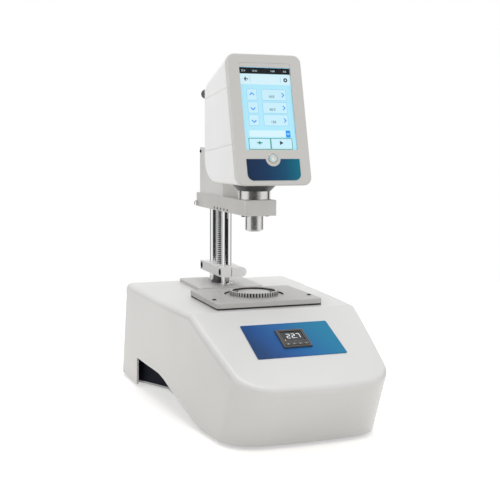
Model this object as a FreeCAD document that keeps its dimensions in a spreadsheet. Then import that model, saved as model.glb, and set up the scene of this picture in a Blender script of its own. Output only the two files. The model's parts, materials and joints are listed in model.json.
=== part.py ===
import FreeCAD, Part
import math
import os
import Sketcher

# Cone and plate rheometer: a white base with a sloping front, a heated measuring plate on its deck,
# and a measuring head that a lead screw raises and lowers on two chrome columns behind the plate.
# Millimetres. X is to the right, Y to the back, Z up. The origin is on the table, under the spindle.

Vector = FreeCAD.Vector
Rotation = FreeCAD.Rotation
doc = FreeCAD.newDocument("Rheometer")
sheet = doc.addObject("Spreadsheet::Sheet", "size")

driving_sizes = [
    # running and assembly clearances
    ("fit_gap", 0.05), ("seat_gap", 0.02), ("free_gap", 0.3), ("seam_gap", 0.4), ("overcut", 1),
    # base cover in plan: nearly straight sides, round front corners, a slightly bowed nose
    ("foot_height", 6), ("cover_top", 189), ("cover_wall", 3.5), ("cover_edge_round", 10),
    ("rear_reach", 300), ("rear_top_reach", 278), ("nose_reach", 255.7), ("nose_lean", 25.9),
    ("half_width_top", 170), ("widest_top", 280), ("half_width_low", 176), ("widest_low", 360.3),
    ("side_round", 3780), ("corner_round", 62), ("nose_round", 850), ("rear_corner_round", 14),
    # sloping front and side arches
    ("crease_front", 98.9), ("slope_angle", 22.8),
    ("arch_rear", 181), ("arch_top", 58), ("arch_bend", 38), ("arch_front", 136),
    ("arch_top_round", 190), ("arch_front_round", 200), ("arch_corner_round", 3),
    # tray, liners, feet and inner chassis
    ("tray_thickness", 4), ("tray_side_inset", 48), ("tray_flare_inset", 8), ("tray_corner_inset", 44),
    ("tray_nose_inset", 48), ("tray_front", 232), ("tray_wide_front", 150), ("tray_rear_inset", 8),
    ("tray_flare_start", 125), ("tray_flare_end", 198),
    ("liner_wall", 2), ("liner_height", 86), ("liner_front", 160), ("liner_gap", 1), ("liner_toe", 8),
    ("shelf_toe", 13), ("shelf_inset", 8),
    ("foot_dia", 24), ("foot_corner_inset", 14), ("foot_front", 170), ("foot_side_inset", 19),
    ("foot_rear_inset", 38), ("foot_screw_dia", 8), ("foot_screw_depth", 2),
    ("chassis_inset", 5), ("chassis_wall", 2), ("chassis_front", 84), ("chassis_rear_inset", 16),
    # measuring plate and its stage
    ("gasket_height", 3), ("gasket_inset", 2), ("stage_half", 96.3), ("stage_front", 83), ("stage_rear", 76.8),
    ("stage_thickness", 8.7), ("stage_corner", 6), ("stage_edge", 1), ("stage_recess_dia", 106),
    ("stage_recess_depth", 2.5), ("stage_bore_dia", 68), ("stage_hole_half", 58),
    ("stage_screw_x", 88), ("stage_screw_y", 43), ("stage_screw_dia", 5),
    ("ring_dia", 87.6), ("ring_inner_dia", 78), ("ring_height", 9.2), ("ring_teeth", 52), ("tooth_depth", 1.8),
    ("tooth_gap", 2.4), ("ring_foot_height", 2.2),
    ("plate_dia", 77), ("plate_height", 5.4), ("plate_land_dia", 57), ("plate_land_rise", 0.8),
    ("plate_land_run", 0.6), ("trough_dia", 66), ("trough_depth", 2.4), ("stage_screw_sink", 0.6),
    ("heater_dia", 64), ("heater_height", 20), ("heater_edge", 2), ("sink_half", 50), ("sink_base", 8),
    ("fin_height", 40), ("fin_width", 2), ("fin_count", 11),
    # columns, clamp, lead screw and motor
    ("column_plate_half", 63.6), ("column_plate_front", 121.4), ("column_plate_rear", 261.7),
    ("column_plate_thickness", 6.8), ("column_plate_corner", 5), ("column_plate_lap", 19),
    ("column_dia", 20), ("front_column_y", 153), ("rear_column_y", 226), ("column_top", 362),
    ("column_chamfer", 1), ("collar_dia", 24), ("collar_height", 3),
    ("clamp_left", 20.8), ("clamp_right", 30), ("clamp_front", 122), ("clamp_rear", 256), ("clamp_low", 214),
    ("clamp_height", 18), ("clamp_slit", 1.6), ("clamp_nose_round", 8.75), ("clamp_screw_end", 9),
    ("clamp_screw_head_dia", 11), ("clamp_screw_head", 6), ("clamp_screw_dia", 6), ("clamp_screw_length", 30),
    ("clamp_screw_sink", 0.4), ("screw_y", 189.5), ("screw_dia", 16), ("screw_journal_dia", 10),
    ("screw_clearance", 0.75), ("bearing_dia", 28), ("bearing_height", 16), ("bearing_flange_dia", 36),
    ("bearing_flange", 4), ("bearing_edge", 1),
    ("motor_half", 28.2), ("motor_length", 56), ("motor_corner", 5), ("motor_shaft_depth", 40),
    # arm, bushings, nut and bracket
    ("arm_low", 341.8), ("arm_height", 27.1), ("arm_half", 29.4), ("arm_front", 33), ("arm_rear", 256),
    ("arm_corner", 3),
    ("bushing_dia", 26), ("nut_dia", 30),
    ("set_screw_dia", 4), ("set_screw_depth", 3), ("set_screw_first", 62), ("set_screw_last", 138),
    ("set_screw_count", 5), ("set_screw_rise", 4), ("nose_screw_x", 22), ("nose_screw_y", 5), ("nose_screw_dia", 6),
    ("set_screw_sink", 0.5), ("nose_screw_stand", 1),
    ("bracket_half", 26), ("bracket_front", 104), ("bracket_rear", 243), ("bracket_height", 90),
    ("bracket_wall", 3), ("bracket_edge", 2), ("bracket_pad_half", 20), ("bracket_pad_height", 34),
    ("bracket_screw_dia", 6), ("bracket_screw_in", 8),
    ("knob_dia", 11), ("knob_length", 5.5), ("knob_y", 247), ("knob_rise", 6), ("knob_stud_dia", 5),
    ("knob_stud_length", 8), ("knob_edge", 1),
    # neck, nose and spindle
    ("neck_ring_dia", 57), ("neck_ring_height", 15), ("neck_edge", 0.8), ("neck_bore_dia", 34),
    ("flange_dia", 78.8), ("flange_rim", 2),
    ("nose_dia", 32.4), ("nose_length", 28.8), ("nose_edge", 3), ("nose_bore_dia", 26),
    ("coupling_dia", 25.4), ("coupling_length", 20), ("coupling_lift", 0.6), ("coupling_edge", 1),
    ("cone_bore_dia", 7), ("cone_bore_depth", 16), ("cone_bore_edge", 0.5), ("spindle_dia", 10),
    ("spindle_top", 462), ("rotor_dia", 34), ("rotor_height", 30), ("rotor_lift", 7),
    ("bearing_ring_height", 8), ("lower_bearing_rise", 5), ("upper_bearing_drop", 4),
    ("stator_dia", 62), ("stator_height", 44),
    # head housing
    ("head_half", 67), ("head_low", 397), ("head_rear", 90), ("head_rear_top", 566), ("head_top_break", 72),
    ("head_top_break_rise", 13), ("head_front_top", 617.5), ("head_wall", 3), ("head_heel_round", 45),
    ("head_side_round", 14), ("head_face_round", 2.5), ("face_tilt", 15.3), ("face_y", 84.3),
    ("display_low", 456.9), ("front_depth", 10),
    ("upper_seam_rear", 542.7), ("upper_seam_rise", 7.2), ("lower_seam_rear", 450.7), ("lower_seam_rise", 5),
    # display, label plate and push button, measured along the tilted face
    ("display_half", 45.7), ("display_height", 150), ("glass_thickness", 2.4), ("display_margin", 5),
    ("display_depth", 8), ("board_half", 42), ("board_height", 120), ("board_thickness", 1.6),
    ("board_depth", 22), ("board_post_dia", 6), ("label_half", 47.5), ("label_top", 16.4), ("label_low", 53),
    ("label_thickness", 0.6), ("label_corner_round", 11), ("button_drop", 15.6), ("notch_dia", 26.8),
    ("button_ring_dia", 17), ("button_ring_rise", 1), ("button_dia", 12.6), ("button_rise", 1.6),
    ("button_edge", 0.6), ("button_stem_dia", 5), ("button_stem_length", 9),
    ("socket_x", 48), ("socket_z", 557), ("socket_dia", 17), ("socket_length", 46), ("socket_collar", 6),
    ("socket_groove", 1), ("socket_edge", 1.5),
    # control panel and temperature controller on the slope
    ("panel_centre", 183), ("panel_half", 75.9), ("panel_half_height", 46.3), ("panel_thickness", 1.2),
    ("panel_corner", 2), ("controller_half", 24.3), ("controller_height", 3), ("controller_body_half", 22.4),
    ("controller_depth", 68), ("controller_edge", 1.5), ("window_half", 19), ("window_low", 8), ("window_high", 19),
    ("window_depth", 1), ("window_thickness", 1.5), ("key_half_width", 4.2), ("key_half_height", 2.6),
    ("key_pitch", 10.4), ("key_drop", 17.6), ("key_rise", 0.8), ("key_height", 2.4), ("key_travel", 0.6),
    # rear panel and what it carries
    ("rear_panel_z", 72), ("rear_hole_half", 100), ("rear_hole_half_height", 40), ("rear_panel_lap", 8),
    ("rear_panel_thickness", 2), ("fan_x", 62), ("fan_half", 30), ("fan_depth", 15), ("fan_bore_dia", 56),
    ("fan_hub_dia", 24), ("fan_hub_edge", 1), ("fan_blades", 7), ("blade_start", 1), ("blade_sweep", 4),
    ("blade_wall", 1.6), ("blade_gap", 1), ("guard_wire", 1.6), ("guard_rings", 3), ("guard_lap", 3),
    ("inlet_x", 66), ("inlet_half", 24), ("inlet_half_height", 15), ("inlet_drop", 10), ("inlet_depth", 22),
    ("rocker_half", 10), ("rocker_half_height", 6.2), ("rocker_place", 14), ("rocker_depth", 9),
    ("rocker_slack", 0.6), ("rocker_body", 3), ("rocker_crest", 4), ("rocker_dip", 1), ("rocker_pivot", 4),
    ("rocker_turn", 8), ("rocker_pin_dia", 3), ("rocker_pin_reach", 1.5), ("fan_strut", 4), ("strut_root", 1),
    ("data_x", 8), ("data_half", 16), ("data_half_height", 8), ("data_depth", 12), ("port_half", 6),
    ("port_half_height", 4.8), ("socket_lip", 1.5), ("socket_floor", 4),
    ("small_screw_dia", 6), ("small_screw_head", 1.6),
    # boxes on the tray
    ("supply_width", 98), ("supply_length", 110), ("supply_height", 44), ("supply_front", 120), ("supply_side", 6),
    ("board_rise", 8), ("control_board_width", 92), ("control_board_length", 120),
]

for line, (alias, number) in enumerate(driving_sizes, 1):
    sheet.set("A%d" % line, alias)
    sheet.set("B%d" % line, str(number))
    sheet.setAlias("B%d" % line, alias)
doc.recompute()


def number(alias):
    return float(sheet.get(alias))


nodes = []


def keep(piece, label):
    # a sub-part that is written to its own file
    piece.Label = label
    nodes.append(piece)
    return piece


# Helpers for sketches. Every point and radius is an expression on the sheet.

def new_body(label):
    body = doc.addObject("PartDesign::Body", label)
    body.Label = label
    return body


def new_sketch(body, role, offset="0"):
    sketch = body.newObject("Sketcher::SketchObject", body.Name + "_sketch")
    plane = [feature for feature in body.Origin.OriginFeatures if feature.Role == role][0]
    sketch.AttachmentSupport = [(plane, "")]
    sketch.MapMode = "FlatFace"
    sketch.setExpression(".AttachmentOffset.Base.z", offset)
    return sketch


def bind(sketch, kind, *parts):
    # a constraint whose value starts at what is drawn and then follows an expression
    index = sketch.addConstraint(Sketcher.Constraint(kind, *parts[:-1]))
    sketch.setExpression("Constraints[%d]" % index, parts[-1])


def pin_point(sketch, geometry, point, x, y):
    now = sketch.getPoint(geometry, point)
    bind(sketch, "DistanceX", -1, 1, geometry, point, now.x, x)
    bind(sketch, "DistanceY", -1, 1, geometry, point, now.y, y)


def set_radius(sketch, geometry, radius):
    bind(sketch, "Radius", geometry, sketch.Geometry[geometry].Radius, radius)


def outline(sketch, points):
    # a closed outline of straight edges through the points
    first = sketch.GeometryCount
    count = len(points)
    turn = 2 * math.pi / count
    reach = number("column_dia")
    spread = [Vector(reach * math.cos(turn * i), reach * math.sin(turn * i), 0) for i in range(count)]
    for i in range(count):
        sketch.addGeometry(Part.LineSegment(spread[i], spread[(i + 1) % count]), False)
    for i in range(count):
        sketch.addConstraint(Sketcher.Constraint("Coincident", first + i, 2, first + (i + 1) % count, 1))
    for i, (x, y) in enumerate(points):
        pin_point(sketch, first + i, 1, x, y)


def rectangle(sketch, left, right, low, high):
    outline(sketch, [(left, low), (right, low), (right, high), (left, high)])


def circle(sketch, x, y, dia):
    index = sketch.addGeometry(Part.Circle(Vector(0, 0, 0), Vector(0, 0, 1), number("column_dia")), False)
    pin_point(sketch, index, 3, x, y)
    set_radius(sketch, index, "(%s) / 2" % dia)


# Helpers for features

def pad(body, sketch, length, kind="PartDesign::Pad", side="One side", reverse=False):
    feature = body.newObject(kind, body.Name + "_" + kind.split("::")[1].lower())
    feature.Profile = sketch
    feature.SideType = side
    feature.Reversed = reverse
    feature.setExpression("Length", length)
    doc.recompute()
    return feature


def pocket(body, sketch, length, side="One side", reverse=False):
    return pad(body, sketch, length, "PartDesign::Pocket", side, reverse)


def soften(body, radius, wanted, kind="PartDesign::Fillet"):
    tip = body.Tip
    names = ["Edge%d" % (i + 1) for i, edge in enumerate(tip.Shape.Edges) if wanted(edge)]
    feature = body.newObject(kind, body.Name + "_" + kind.split("::")[1].lower())
    feature.Base = (tip, names)
    feature.setExpression("Radius" if kind.endswith("Fillet") else "Size", radius)
    doc.recompute()
    return feature


def chamfer(body, size, wanted):
    return soften(body, size, wanted, "PartDesign::Chamfer")


def direction(edge):
    ends = edge.Vertexes
    if len(ends) < 2:
        return Vector(0, 0, 0)
    way = ends[1].Point - ends[0].Point
    return way.normalize() if way.Length > 0.001 else way


def upright(edge):
    return abs(direction(edge).z) > 0.999


def level_at(height):
    # edges that lie all in the plane Z = height
    return lambda edge: abs(edge.BoundBox.ZMin - height) < 0.01 and abs(edge.BoundBox.ZMax - height) < 0.01


def place(piece, x="0", y="0", z="0", turn="0", axis=(1, 0, 0)):
    piece.Placement = FreeCAD.Placement(Vector(0, 0, 0), Rotation(Vector(*axis), 1.0))
    piece.setExpression("Placement.Base.x", x)
    piece.setExpression("Placement.Base.y", y)
    piece.setExpression("Placement.Base.z", z)
    piece.setExpression("Placement.Rotation.Angle", turn)
    return piece


def turned(label, profile, x="0", y="0", z="0", turn="0", axis=(1, 0, 0)):
    # a turned piece: the profile is radius and height about its own Z axis
    body = new_body(label)
    sketch = new_sketch(body, "XZ_Plane")
    outline(sketch, profile)
    spin = body.newObject("PartDesign::Revolution", label + "_revolution")
    spin.Profile = sketch
    spin.ReferenceAxis = (sketch, ["V_Axis"])
    spin.Angle = 360
    place(body, x, y, z, turn, axis)
    doc.recompute()
    return body


def block(name, low, high):
    # a plain rectangular tool or zone between two corners, each three expressions
    box = doc.addObject("Part::Box", name)
    for side, axis, a, b in zip(("Length", "Width", "Height"), "xyz", low, high):
        box.setExpression(side, "(%s) - (%s)" % (b, a))
        box.setExpression("Placement.Base." + axis, a)
    return box


def turned_block(name, low, high, frame):
    # the same, in a tilted frame: the corner is worked out along the frame's own axes
    body = new_body(name)
    sketch = new_sketch(body, "XY_Plane", low[2])
    rectangle(sketch, low[0], high[0], low[1], high[1])
    pad(body, sketch, "(%s) - (%s)" % (high[2], low[2]))
    frame(body)
    return body


def cut(name, base, tools):
    # the base without the tools
    if len(tools) > 1:
        tool = doc.addObject("Part::MultiFuse", name + "_tools")
        tool.Shapes = tools
    else:
        tool = tools[0]
    result = doc.addObject("Part::Cut", name)
    result.Base = base
    result.Tool = tool
    return result


# The three tilted frames: the head's face, the slope of the cover, and the leaning rear wall

def on_face(piece):
    # origin at the middle of the display's lower edge; local Z up the face, local -Y outwards
    return place(piece, y="-size.face_y", z="size.display_low", turn="-size.face_tilt")


slope_z = "size.cover_top - (size.panel_centre - size.crease_front) * tan(size.slope_angle)"


def on_slope(piece):
    # origin at the middle of the control panel; local Y up the slope, local Z outwards
    return place(piece, y="-size.panel_centre", z=slope_z, turn="size.slope_angle")


wall_fall = "(size.rear_reach - size.rear_top_reach) / (size.cover_top - size.foot_height)"


def on_rear(piece):
    # origin at the middle of the rear panel on the cover's outer face; local Y outwards
    return place(piece, y="size.rear_reach - (size.rear_panel_z - size.foot_height) * " + wall_fall,
                 z="size.rear_panel_z", turn="atan(%s)" % wall_fall)


# Base cover. Two outlines, at the foot and at the top, are lofted, and the slope is cut off the front.

def meeting_point(first, first_radius, second, second_radius):
    # the right-hand front point where two circles about first and second meet
    gap = second - first
    along = (first_radius ** 2 - second_radius ** 2 + gap.Length ** 2) / (2 * gap.Length)
    across = math.sqrt(first_radius ** 2 - along ** 2)
    way = Vector(gap).normalize()
    sides = [first + way * along + Vector(-way.y, way.x, 0) * across * sign for sign in (1, -1)]
    return min(sides, key=lambda point: point.y)


def cover_outline(sketch, half, widest, rear, nose, nose_now):
    # half, widest and rear are names on the sheet, nose an expression; the arcs start near their places
    side_round, corner_round, nose_round = number("side_round"), number("corner_round"), number("nose_round")
    side_centre = Vector(number(half) - side_round, number(widest), 0)
    bow_centre = Vector(0, nose_round - nose_now, 0)
    corner_centre = meeting_point(side_centre, side_round - corner_round, bow_centre, nose_round - corner_round)
    shoulder = corner_centre + (corner_centre - side_centre).normalize() * corner_round
    brow = corner_centre + (corner_centre - bow_centre).normalize() * corner_round
    heel_x = side_centre.x + math.sqrt(side_round ** 2 - (number(rear) - number(widest)) ** 2)
    heel = Vector(heel_x, number(rear), 0)

    def arc(centre, radius, start, end, sign):
        middle = Vector(sign * centre.x, centre.y, 0)
        angles = [math.atan2(point.y - middle.y, sign * point.x - middle.x) for point in (start, end)]
        if sign < 0:
            angles.reverse()
        return sketch.addGeometry(Part.ArcOfCircle(Part.Circle(middle, Vector(0, 0, 1), radius), *angles), False)

    back = sketch.addGeometry(Part.LineSegment(heel, Vector(-heel.x, heel.y, 0)), False)
    left_side = arc(side_centre, side_round, shoulder, heel, -1)
    left_corner = arc(corner_centre, corner_round, brow, shoulder, -1)
    bow = arc(bow_centre, nose_round, Vector(-brow.x, brow.y, 0), brow, 1)
    right_corner = arc(corner_centre, corner_round, brow, shoulder, 1)
    right_side = arc(side_centre, side_round, shoulder, heel, 1)
    for constraint in (("Coincident", back, 2, left_side, 1), ("Tangent", left_side, 2, left_corner, 1),
                       ("Tangent", left_corner, 2, bow, 1), ("Tangent", bow, 2, right_corner, 1),
                       ("Tangent", right_corner, 2, right_side, 1), ("Coincident", right_side, 2, back, 1)):
        sketch.addConstraint(Sketcher.Constraint(*constraint))
    for side, sign, end in ((right_side, "", 2), (left_side, "-", 1)):
        pin_point(sketch, side, 3, "%s(size.%s - size.side_round)" % (sign, half), "size." + widest)
        set_radius(sketch, side, "size.side_round")
        bind(sketch, "DistanceY", -1, 1, side, end, number(rear), "size." + rear)
    for corner in (left_corner, right_corner):
        set_radius(sketch, corner, "size.corner_round")
    pin_point(sketch, bow, 3, "0", "size.nose_round - (%s)" % nose)
    set_radius(sketch, bow, "size.nose_round")


def slope_height(front, drop="0"):
    # height of the slope, or of a plane that lies drop below it, at a place in front of the spindle
    return "size.cover_top - (%s - size.crease_front) * tan(size.slope_angle) - (%s)" % (front, drop)


cover_height = "size.cover_top - size.foot_height"
nose_top = "size.nose_reach + (%s) * tan(size.nose_lean)" % cover_height
nose_top_now = (number("nose_reach") + (number("cover_top") - number("foot_height"))
                * math.tan(math.radians(number("nose_lean"))))
beyond = "size.rear_reach * 2"
nose_beyond = nose_top + " + 10"

cover_form = new_body("cover_form")
low_outline = new_sketch(cover_form, "XY_Plane", "size.foot_height")
cover_outline(low_outline, "half_width_low", "widest_low", "rear_reach", "size.nose_reach", number("nose_reach"))
top_outline = new_sketch(cover_form, "XY_Plane", "size.cover_top")
cover_outline(top_outline, "half_width_top", "widest_top", "rear_top_reach", nose_top, nose_top_now)
cover_loft = cover_form.newObject("PartDesign::AdditiveLoft", "cover_loft")
cover_loft.Profile = low_outline
cover_loft.Sections = [top_outline]
doc.recompute()
slope_sketch = new_sketch(cover_form, "YZ_Plane")
outline(slope_sketch, [("-size.crease_front", "size.cover_top"), ("-(%s)" % beyond, slope_height(beyond)),
                       ("-(%s)" % beyond, beyond), ("-size.crease_front", beyond)])
pocket(cover_form, slope_sketch, beyond, "Symmetric")


def rear_upright(edge):
    box = edge.BoundBox
    inmost = min(number("rear_reach"), number("rear_top_reach")) - 2 * number("cover_wall")
    return box.YMin > inmost and box.ZLength > (number("cover_top") - number("foot_height")) / 2


def top_edges(edge):
    return edge.BoundBox.ZMin > number("foot_height") + number("overcut") and not rear_upright(edge)


soften(cover_form, "size.rear_corner_round", rear_upright)
soften(cover_form, "size.cover_edge_round", top_edges)

inner_outlines = []
for source in (low_outline, top_outline):
    inner = doc.addObject("Part::Offset2D", source.Name + "_inner")
    inner.Source = source
    inner.Join = 2
    inner.setExpression("Value", "-size.cover_wall")
    inner_outlines.append(inner)
cover_inside = doc.addObject("Part::Loft", "cover_inside")
cover_inside.Sections = inner_outlines
cover_inside.Solid = True
inside_limit = new_body("inside_limit")
limit_sketch = new_sketch(inside_limit, "YZ_Plane")
roof = "size.cover_top - size.cover_wall"
wall_drop = "size.cover_wall / cos(size.slope_angle)"
rearmost = "max(size.rear_reach; size.rear_top_reach)"
outline(limit_sketch, [(rearmost, "0"), (rearmost, roof),
                       ("-size.crease_front + size.cover_wall * tan(size.slope_angle / 2)", roof),
                       ("-(%s)" % nose_beyond, slope_height(nose_beyond, wall_drop)), ("-(%s)" % nose_beyond, "0")])
pad(inside_limit, limit_sketch, beyond, side="Symmetric")
cavity_form = doc.addObject("Part::Common", "cavity_form")
cavity_form.Base = cover_inside
cavity_form.Tool = inside_limit
cavity = new_body("cover_cavity")
cavity.BaseFeature = cavity_form
doc.recompute()
soften(cavity, "size.rear_corner_round - size.cover_wall", rear_upright)

# The arch along each side is one prism through both walls: level behind, then a ramp down to the foot
arch_cutter = new_body("arch_cutter")
arch_sketch = new_sketch(arch_cutter, "YZ_Plane")
outline(arch_sketch, [("size.arch_rear", "0"), ("size.arch_rear", "size.arch_top"), ("size.arch_bend", "size.arch_top"),
                      ("-size.arch_front", "size.foot_height"), ("-size.nose_reach", "size.foot_height"),
                      ("-size.nose_reach", "0")])
pad(arch_cutter, arch_sketch, beyond, side="Symmetric")


def across_at(y, z):
    # edges along X through a point of the side profile
    return lambda edge: abs(edge.BoundBox.Center.y - y) < 0.01 and abs(edge.BoundBox.Center.z - z) < 0.01


soften(arch_cutter, "size.arch_top_round", across_at(number("arch_bend"), number("arch_top")))
soften(arch_cutter, "size.arch_front_round", across_at(-number("arch_front"), number("foot_height")))
soften(arch_cutter, "size.arch_corner_round", across_at(number("arch_rear"), number("arch_top")))

under_roof, over_top = roof + " - size.overcut", "size.cover_top + size.overcut"
stage_hole = block("stage_hole", ("-size.stage_hole_half", "-size.stage_hole_half", under_roof),
                   ("size.stage_hole_half", "size.stage_hole_half", over_top))
column_hole_half = "(size.column_plate_half - size.column_plate_lap)"
column_hole = block("column_hole", ("-" + column_hole_half, "size.front_column_y - size.column_dia", under_roof),
                    (column_hole_half, "size.rear_column_y + size.column_dia", over_top))
slope_hole = turned_block("slope_hole", ("-size.controller_body_half - size.free_gap",
                                         "-size.controller_body_half - size.free_gap", "-size.cover_wall * 3"),
                          ("size.controller_body_half + size.free_gap", "size.controller_body_half + size.free_gap",
                           "size.cover_wall"), on_slope)
rear_hole = turned_block("rear_hole", ("-size.rear_hole_half", "-size.cover_wall * 2", "-size.rear_hole_half_height"),
                         ("size.rear_hole_half", "size.cover_wall", "size.rear_hole_half_height"), on_rear)
keep(cut("base_cover", cover_form, [cavity, arch_cutter, stage_hole, column_hole, slope_hole, rear_hole]), "base_cover")
doc.recompute()

# Tray, liners, feet and inner chassis

tray_top = "size.foot_height + size.tray_thickness"


def plate(label, points, base, thickness, holes=(), windows=()):
    # a flat plate with round holes (x, y, dia) and rectangular windows (left, right, front, rear)
    body = new_body(label)
    sketch = new_sketch(body, "XY_Plane", base)
    outline(sketch, points)
    for hole in holes:
        circle(sketch, *hole)
    for window in windows:
        rectangle(sketch, *window)
    pad(body, sketch, thickness)
    return body


def corners(half, front, rear):
    return [("-(%s)" % half, front), (half, front), (half, rear), ("-(%s)" % half, rear)]


def both_sides(points):
    # an outline given along the right side from front to rear, closed along the left side
    return points + [("-(%s)" % x, y) for x, y in reversed(points)]


# The tray, the liners and the chassis keep their distances from the cover's sides and rear wall
mean_half = "min(size.half_width_low; (size.half_width_low + size.half_width_top) / 2)"
tray_side = "(%s - size.tray_side_inset)" % mean_half
tray_flare = "(%s - size.tray_flare_inset)" % mean_half
tray_corner = "(size.half_width_low - size.tray_corner_inset)"
keep(plate("bottom_tray", both_sides([
    ("(%s - size.tray_nose_inset)" % tray_corner, "-size.tray_front"),
    (tray_corner, "-size.foot_front - size.foot_dia / 2"), (tray_corner, "-size.tray_wide_front"),
    (tray_side, "-size.tray_wide_front"), (tray_side, "size.tray_flare_start"), (tray_flare, "size.tray_flare_end"),
    (tray_flare, "size.rear_reach - size.tray_rear_inset")]), "size.foot_height", "size.tray_thickness"), "bottom_tray")

feet = new_body("rubber_feet")
feet_sketch = new_sketch(feet, "XY_Plane")
front_foot = ("(%s - size.foot_corner_inset)" % tray_corner, "-size.foot_front")
rear_foot = ("(%s - size.foot_side_inset)" % tray_flare, "size.rear_reach - size.foot_rear_inset")
foot_places = [(sign + x, y) for x, y in (front_foot, rear_foot) for sign in ("", "-")]
for x, y in foot_places:
    circle(feet_sketch, x, y, "size.foot_dia")
pad(feet, feet_sketch, "size.foot_height")
foot_holes = new_sketch(feet, "XY_Plane")
for x, y in foot_places:
    circle(foot_holes, x, y, "size.foot_screw_dia")
pocket(feet, foot_holes, "size.foot_screw_depth", reverse=True)
chamfer(feet, "size.foot_screw_depth / 2", lambda edge: edge.BoundBox.ZMax < 0.01
        and edge.BoundBox.XLength > number("foot_dia") / 2)
keep(feet, "rubber_feet")

liners = new_body("arch_liners")
liner_sketch = new_sketch(liners, "XY_Plane", tray_top)
liner_out = "%s - size.liner_gap" % tray_side
liner_path = [("%s + size.liner_toe" % tray_side, "-size.liner_front"), (liner_out, "-size.tray_wide_front"),
              (liner_out, "size.tray_flare_start"), ("%s - size.liner_gap" % tray_flare, "size.tray_flare_end")]
for sign in ("", "-"):
    near = [("%s(%s)" % (sign, x), y) for x, y in liner_path]
    far = [("%s(%s - size.liner_wall)" % (sign, x), y) for x, y in reversed(liner_path)]
    outline(liner_sketch, near + far)
pad(liners, liner_sketch, "size.liner_height")
shelf_sketch = new_sketch(liners, "XY_Plane", "%s + size.liner_height - size.liner_wall" % tray_top)
for sign in ("", "-"):
    shelf = [liner_path[0], ("%s + size.shelf_toe" % tray_side, "-size.liner_front"),
             ("%s - size.shelf_inset" % tray_flare, "size.tray_flare_start"), liner_path[3], liner_path[2], liner_path[1]]
    outline(shelf_sketch, [("%s(%s)" % (sign, x), y) for x, y in shelf])
pad(liners, shelf_sketch, "size.liner_wall")
keep(liners, "arch_liners")

# The chassis is a folded bridge: two walls on the tray and a deck against the cover's roof
chassis_half = "(%s - size.chassis_inset)" % tray_side
chassis_inner = "(%s - size.chassis_wall)" % chassis_half
chassis_rear = "min(size.rear_reach; size.rear_top_reach) - size.chassis_rear_inset"
deck_low = roof + " - size.chassis_wall"
chassis = new_body("chassis_frame")
chassis_sketch = new_sketch(chassis, "XZ_Plane", "-(%s)" % chassis_rear)
outline(chassis_sketch, [("-" + chassis_half, tray_top), ("-" + chassis_inner, tray_top), ("-" + chassis_inner, deck_low),
                         (chassis_inner, deck_low), (chassis_inner, tray_top), (chassis_half, tray_top),
                         (chassis_half, roof), ("-" + chassis_half, roof)])
pad(chassis, chassis_sketch, chassis_rear + " + size.chassis_front")
deck_holes = new_sketch(chassis, "XY_Plane", roof + " + size.overcut")
rectangle(deck_holes, "-size.stage_hole_half", "size.stage_hole_half", "-size.stage_hole_half", "size.stage_hole_half")
circle(deck_holes, "0", "size.screw_y", "size.screw_journal_dia + 2 * size.free_gap")
pocket(chassis, deck_holes, "size.chassis_wall + 2 * size.overcut")
keep(chassis, "chassis_frame")

# Stage: gasket, plate with its round recess, the castellated ring and the measuring plate

gasket_top = "size.cover_top + size.gasket_height"
stage_top = "%s + size.stage_thickness" % gasket_top
recess_floor = "%s - size.stage_recess_depth" % stage_top
gasket_half = "size.stage_half - size.gasket_inset"
stage_window = ("-size.stage_hole_half", "size.stage_hole_half", "-size.stage_hole_half", "size.stage_hole_half")
keep(plate("plate_gasket", corners(gasket_half, "-size.stage_front + size.gasket_inset",
                                   "size.stage_rear - size.gasket_inset"),
           "size.cover_top", "size.gasket_height", windows=[stage_window]), "plate_gasket")

stage = plate("stage_plate", corners("size.stage_half", "-size.stage_front", "size.stage_rear"), gasket_top,
              "size.stage_thickness", holes=[("0", "0", "size.stage_bore_dia")])
soften(stage, "size.stage_corner", upright)
stage_top_now = number("cover_top") + number("gasket_height") + number("stage_thickness")
chamfer(stage, "size.stage_edge", lambda edge: level_at(stage_top_now)(edge)
        and edge.BoundBox.Center.Length - stage_top_now > 0.05)
recess_sketch = new_sketch(stage, "XY_Plane", stage_top)
circle(recess_sketch, "0", "0", "size.stage_recess_dia")
pocket(stage, recess_sketch, "size.stage_recess_depth")
screw_sketch = new_sketch(stage, "XY_Plane", stage_top)
for sign in ("", "-"):
    circle(screw_sketch, sign + "size.stage_screw_x", "-size.stage_screw_y", "size.stage_screw_dia")
pocket(stage, screw_sketch, "size.stage_thickness / 2")
keep(stage, "stage_plate")

ring = turned("plate_ring", [
    ("size.ring_inner_dia / 2", "0"), ("size.ring_dia / 2", "0"), ("size.ring_dia / 2", "size.ring_height"),
    ("size.ring_inner_dia / 2", "size.ring_height")], z="%s + size.seat_gap" % recess_floor)
tooth_sketch = new_sketch(ring, "XY_Plane", "size.ring_height")
rectangle(tooth_sketch, "size.ring_dia / 2 - size.tooth_depth", "size.ring_dia / 2 + size.overcut",
          "-size.tooth_gap / 2", "size.tooth_gap / 2")
tooth_cut = pocket(ring, tooth_sketch, "size.ring_height - size.ring_foot_height")
around = ring.newObject("PartDesign::PolarPattern", "ring_teeth_pattern")
around.Originals = [tooth_cut]
around.Axis = (tooth_sketch, ["N_Axis"])
around.Angle = 360
around.setExpression("Occurrences", "size.ring_teeth")
ring.Tip = around
doc.recompute()
keep(ring, "plate_ring")

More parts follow.
